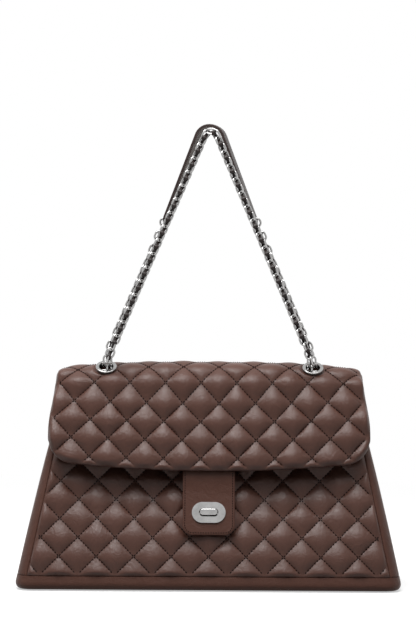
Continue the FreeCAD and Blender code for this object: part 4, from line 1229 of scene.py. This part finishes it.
def link_frames(node, count):
    """Centres and long and wide axes of a packed chain's links, from the spread of their points."""
    mesh = NODES[node].data
    points = np.empty(len(mesh.vertices) * 3)
    mesh.vertices.foreach_get("co", points)
    links = points.reshape(count, -1, 3)
    centre = (links.min(1) + links.max(1)) / 2
    spread = links - centre[:, None]
    _, axes = np.linalg.eigh(np.einsum("nki,nkj->nij", spread, spread))
    return centre, axes[:, :, 2], axes[:, :, 1]


class BAG_OT_chain(BagOperator, bpy.types.Operator):
    """Builds the chain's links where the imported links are."""

    bl_idname = "bag.chain"
    bl_label = "Chain"

    def execute(self, context):
        (strap,) = sizes("strap")
        chains = {"front_chain": FRONT_LINKS, "left_rear_chain": REAR_LINKS, "right_rear_chain": REAR_LINKS}
        for node, count in chains.items():
            piece = self.links(node + "_links", *link_frames(node, count), strap)
            dress(piece, "polished_metal", "strap", (node,))
        return {"FINISHED"}

    def links(self, name, centre, long, wide, strap, around=28, sides=9):
        """Oval links: a round wire carried along two half circles and two straight runs."""
        r = (strap.link_width - strap.wire) / 2
        run = (strap.link_length - strap.wire) / 2 - r
        turn = (np.arange(around) + 0.5) * 2 * math.pi / around
        cx, cy = np.cos(turn)[:, None], np.sin(turn)[:, None]
        section = np.arange(sides) * 2 * math.pi / sides
        out, lift = np.cos(section) * strap.wire / 2, np.sin(section) * strap.wire / 2
        a, b = np.sign(cx) * run + cx * (r + out), cy * (r + out)
        points = centre[:, None, None]
        for axis, reach in ((long, a), (wide, b), (np.cross(long, wide), 0.0 * a + lift)):
            points = points + axis[:, None, None, :] * reach[..., None]
        quads = tube_sides(around, sides, closed=True)[:, [0, 3, 2, 1]]
        return put_mesh(name, points.reshape(-1, 3), copies(quads, len(centre), around * sides))


class BAG_OT_lace(BagOperator, bpy.types.Operator):
    """Builds the flat leather lace that is woven through the chain."""

    bl_idname = "bag.lace"
    bl_label = "Lace"

    def execute(self, context):
        self.ribbon("front", "front_chain", FRONT_LINKS, 1, ("left_front_lace", "right_front_lace"))
        for side in ("left_rear", "right_rear"):
            self.ribbon(side, side + "_chain", REAR_LINKS, 0, (side + "_lace",))
        return {"FINISHED"}

    def ribbon(self, side, chain, count, phase, nodes, per_link=14, sides=12, squareness=0.7):
        """A flat oval carried along a wave: before one hooking point and behind the next, cos(pi t).

        It is widest where it shows and pinched inside a link: pinch + (width - pinch) cos(pi t)^4.
        """
        (strap,) = sizes("strap")
        centres = link_frames(chain, count)[0]
        hooks = (centres[1:] + centres[:-1]) / 2
        last = len(hooks) - 1
        t = np.linspace(0, last, last * per_link + 1)
        line = along_axes(t, np.arange(len(hooks)), hooks)
        kernel = np.ones(per_link) / per_link
        padded = np.pad(line, ((per_link // 2, per_link - 1 - per_link // 2), (0, 0)), mode="edge")
        line = np.stack([np.convolve(padded[:, i], kernel, mode="valid") for i in range(3)], -1)
        axis = unit(np.gradient(line, axis=0))
        front = unit(np.array([0.0, -1.0, 0.0]) + axis * axis[:, 1:2])
        across = np.cross(axis, front)
        wave = np.cos(math.pi * (t + phase))
        path = line + front * (strap.lace_swing * wave)[:, None]
        flat = np.cross(across, unit(np.gradient(path, axis=0)))
        width = strap.lace_pinch + (strap.lace_width - strap.lace_pinch) * wave**4
        turn = np.arange(sides) * 2 * math.pi / sides
        u, v = [np.sign(c) * np.abs(c) ** squareness for c in (np.cos(turn), np.sin(turn))]
        points = (
            path[:, None]
            + across[:, None] * (width[:, None] / 2 * u)[..., None]
            + flat[:, None] * (strap.lace_thickness / 2 * v)[None, :, None]
        )
        faces = tube_sides(len(t), sides), tube_caps(len(t), sides)
        piece = put_mesh(side + "_lace_ribbon", points.reshape(-1, 3), *faces)
        dress(piece, "lace_leather", "strap", nodes)


class BAG_OT_pad(BagOperator, bpy.types.Operator):
    """Builds the shoulder pad: outer leather, lining and edge stitches."""

    bl_idname = "bag.pad"
    bl_label = "Shoulder pad"

    def execute(self, context):
        quilt, strap = sizes("quilt", "strap")
        end = self.arc(strap) + strap.pad_limb
        half, reach, r, t = strap.pad_width / 2, PAD_EDGE_ROUND, PAD_CORNER, strap.pad_layer
        along = ease_ends(-end, end, PAD_CELLS[0], reach)
        q, v = np.meshgrid(along, ease_ends(-half, half, PAD_CELLS[1], reach))
        side = sign(q)
        corner, dq, dv = drawn_in(np.abs(q) - end + r, np.abs(v) - half + r, r)
        q, v = np.where(corner, side * (end - r + dq), q), np.where(corner, sign(v) * (half - r + dv), v)
        inset = strap.pad_hole_inset
        hole, dq, v = pushed_out(np.abs(q) - end + inset, v, strap.pad_hole)
        q = side * (end - inset + dq)
        keep = ~(lost(corner) | lost(hole))
        inside = corner_depth(np.abs(q) - end + r, np.abs(v) - half + r, r)
        curl = (1.0 - rounded_edge(inside, reach)) * 0.5 * t
        crown = PAD_CROWN * smooth(inside / half)
        turned = 1.0 - smooth((inside - reach) / reach)
        outer = self.point(q, v, 2 * t - curl + crown, strap)
        piece, _ = shell("pad_outer", outer, self.point(q, v, t - PAD_TURNED * t * turned, strap), keep)
        dress(piece, "pad_leather", "strap", ("pad_leather",))
        q, v = q * (1.0 - 2 * reach / end), v * (1.0 - 2 * reach / half)
        piece, _ = shell("pad_inner", self.point(q, v, t, strap), self.point(q, v, 0.0, strap), keep)
        dress(piece, "pad_lining", "strap", ("pad_lining",))

        run = np.linspace(-end + PAD_STITCH_START, end - PAD_STITCH_START, PAD_SAMPLES)
        turn = self.turn(run, strap)
        up = np.stack([np.sin(turn), 0.0 * turn, np.cos(turn)], -1)
        rows = []
        for edge in (-1.0, 1.0):
            path = self.point(run, edge * (half - PAD_STITCH_INSET), 2 * t - EDGE_STITCH_SHIFT, strap)
            rows.append(rows_of_stitches(path, up, PAD_STITCH_PITCH))
        both = [np.concatenate(parts) for parts in zip(*rows)]
        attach(stitches("pad_stitches", *both, quilt, PAD_STITCH_SCALE), "strap")
        return {"FINISHED"}

    def arc(self, strap):
        """Half the length of the pad's bend over its top."""
        return strap.pad_radius * (math.pi / 2 - strap.pad_lean)

    def turn(self, q, strap):
        """The pad's turn from its top at length q: q / radius, held at the ends of the bend."""
        most = self.arc(strap) / strap.pad_radius
        return np.clip(q / strap.pad_radius, -most, most)

    def point(self, q, v, h, strap):
        """A band bent over an arc with straight limbs: q along it, v across it, h out from its inner face."""
        turn = self.turn(q, strap)
        rest = np.maximum(np.abs(q) - self.arc(strap), 0.0)
        r = strap.pad_radius + h
        x = r * np.sin(turn) + np.sign(q) * rest * math.sin(strap.pad_lean)
        z = r * np.cos(turn) - strap.pad_radius - rest * math.cos(strap.pad_lean)
        return np.stack([x + v * math.sin(strap.pad_twist), v * math.cos(strap.pad_twist) + 0.0 * x, z], -1)


class BAG_OT_stage(BagOperator, bpy.types.Operator):
    """Sets up the floor, the lamps, the surroundings and the camera."""

    bl_idname = "bag.stage"
    bl_label = "Studio"

    def execute(self, context):
        studio, colours = sizes("studio", "colours")
        self.floor(colours)
        self.surroundings(context.scene)
        for name, (location, size) in LAMPS.items():
            light = bpy.data.lights.new(name + "_lamp", "AREA")
            light.shape = "RECTANGLE"
            light.size, light.size_y = size
            light.energy = getattr(studio, name)
            self.stand(light, location, LAMP_AIM)
        camera = bpy.data.cameras.new("camera")
        camera.lens = studio.lens
        camera.clip_start, camera.clip_end = 0.05, 50.0
        location = (studio.aside, -studio.distance, studio.height)
        holder = self.stand(camera, location, (studio.aside, 0.0, studio.aim))
        holder.rotation_euler.rotate_axis("Z", studio.roll)
        context.scene.camera = holder
        context.scene.view_settings.view_transform = "Standard"
        return {"FINISHED"}

    def stand(self, data, location, aim):
        """Puts a lamp or the camera at its place, turned to what it aims at."""
        holder = bpy.data.objects.new(data.name, data)
        bpy.context.scene.collection.objects.link(holder)
        holder.location = location
        holder.rotation_euler = (Vector(aim) - Vector(location)).to_track_quat("-Z", "Y").to_euler()
        return holder

    def floor(self, colours):
        """A wide pale disc just under the bag, which fades to white away from it and keeps its shadow."""
        turn = np.linspace(0.0, 2 * math.pi, FLOOR_SIDES, endpoint=False)
        rim = [FLOOR_RADIUS * np.cos(turn), FLOOR_RADIUS * np.sin(turn), 0.0 * turn + BASE_Z - FLOOR_GAP]
        piece = put_mesh("floor", np.stack(rim, -1), np.arange(FLOOR_SIDES)[None, :])
        f = Finish("studio_floor", Roughness=0.9, Specular_IOR_Level=0.1)
        f.tint(f.noise(3.0), (0.3, shade(colours.floor, 0.985)), (0.7, colours.floor))
        near = f.remap(f.add("VectorMath", "Value", {0: f.place}, operation="LENGTH"), *FLOOR_FADE)
        white = f.add("Emission", "Emission", {"Color": WHITE, "Strength": 1.0})
        pale = f.add("MixShader", "Shader", {"Fac": near, 1: white, 2: f.shader.outputs["BSDF"]})
        bounce = f.add("BsdfDiffuse", "BSDF", {"Color": tuple(colours.bounce)})
        surface = f.add("MixShader", "Shader", {"Fac": f.seen(), 1: bounce, 2: pale})
        f.put(f.output.inputs["Surface"], surface)
        piece.data.materials.append(f.material)

    def surroundings(self, scene):
        """White surroundings for what the camera, metal and glass see.

        As light on the bag they are bright behind and overhead, and dim in front.
        """
        scene.world = bpy.data.worlds.new("studio")
        scene.world.use_nodes = True
        n = Nodes(scene.world.node_tree)
        way = n.node("SeparateXYZ", {"Vector": n.add("TexCoord", "Generated")}).outputs
        behind = n.remap(way["Y"], *LIGHT_BEHIND, interpolation_type="SMOOTHSTEP")
        above = n.remap(way["Z"], *LIGHT_ABOVE, interpolation_type="SMOOTHSTEP")
        level = n.math("MAXIMUM", n.math("MAXIMUM", behind, above), n.seen())
        light = n.add("Background", "Background", {"Color": WHITE, "Strength": level})
        n.node("OutputWorld", {"Surface": light})


class BAG_PT_panel(bpy.types.Panel):
    """Lists the bag's operators and settings."""

    bl_idname = "BAG_PT_panel"
    bl_label = "Shoulder bag"
    bl_space_type = "VIEW_3D"
    bl_region_type = "UI"
    bl_category = "Shoulder bag"

    def draw(self, context):
        column = self.layout.column(align=True)
        for operator in OPERATORS:
            column.operator(operator.bl_idname)
        for name in GROUPS:
            box = self.layout.box()
            group = getattr(context.scene, name)
            for key in group.__annotations__:
                box.prop(group, key)


GROUPS = {
    "bag_body": BodySizes,
    "bag_flap": FlapSizes,
    "bag_quilt": QuiltSizes,
    "bag_strap": StrapSizes,
    "bag_colours": BagColours,
    "bag_studio": StudioSettings,
}
OPERATORS = (
    BAG_OT_stage,
    BAG_OT_flap,
    BAG_OT_panels,
    BAG_OT_gussets,
    BAG_OT_base,
    BAG_OT_tab,
    BAG_OT_metal,
    BAG_OT_chain,
    BAG_OT_lace,
    BAG_OT_pad,
)


def register():
    for group in GROUPS.values():
        bpy.utils.register_class(group)
    for name, group in GROUPS.items():
        setattr(bpy.types.Scene, name, PointerProperty(type=group))
    for operator in OPERATORS:
        bpy.utils.register_class(operator)
    bpy.utils.register_class(BAG_PT_panel)


def unregister():
    bpy.utils.unregister_class(BAG_PT_panel)
    for operator in reversed(OPERATORS):
        bpy.utils.unregister_class(operator)
    for name, group in reversed(GROUPS.items()):
        delattr(bpy.types.Scene, name)
        bpy.utils.unregister_class(group)


def main():
    register()
    for operator in OPERATORS:
        category, name = operator.bl_idname.split(".")
        getattr(getattr(bpy.ops, category), name)()


if __name__ == "__main__":
    main()
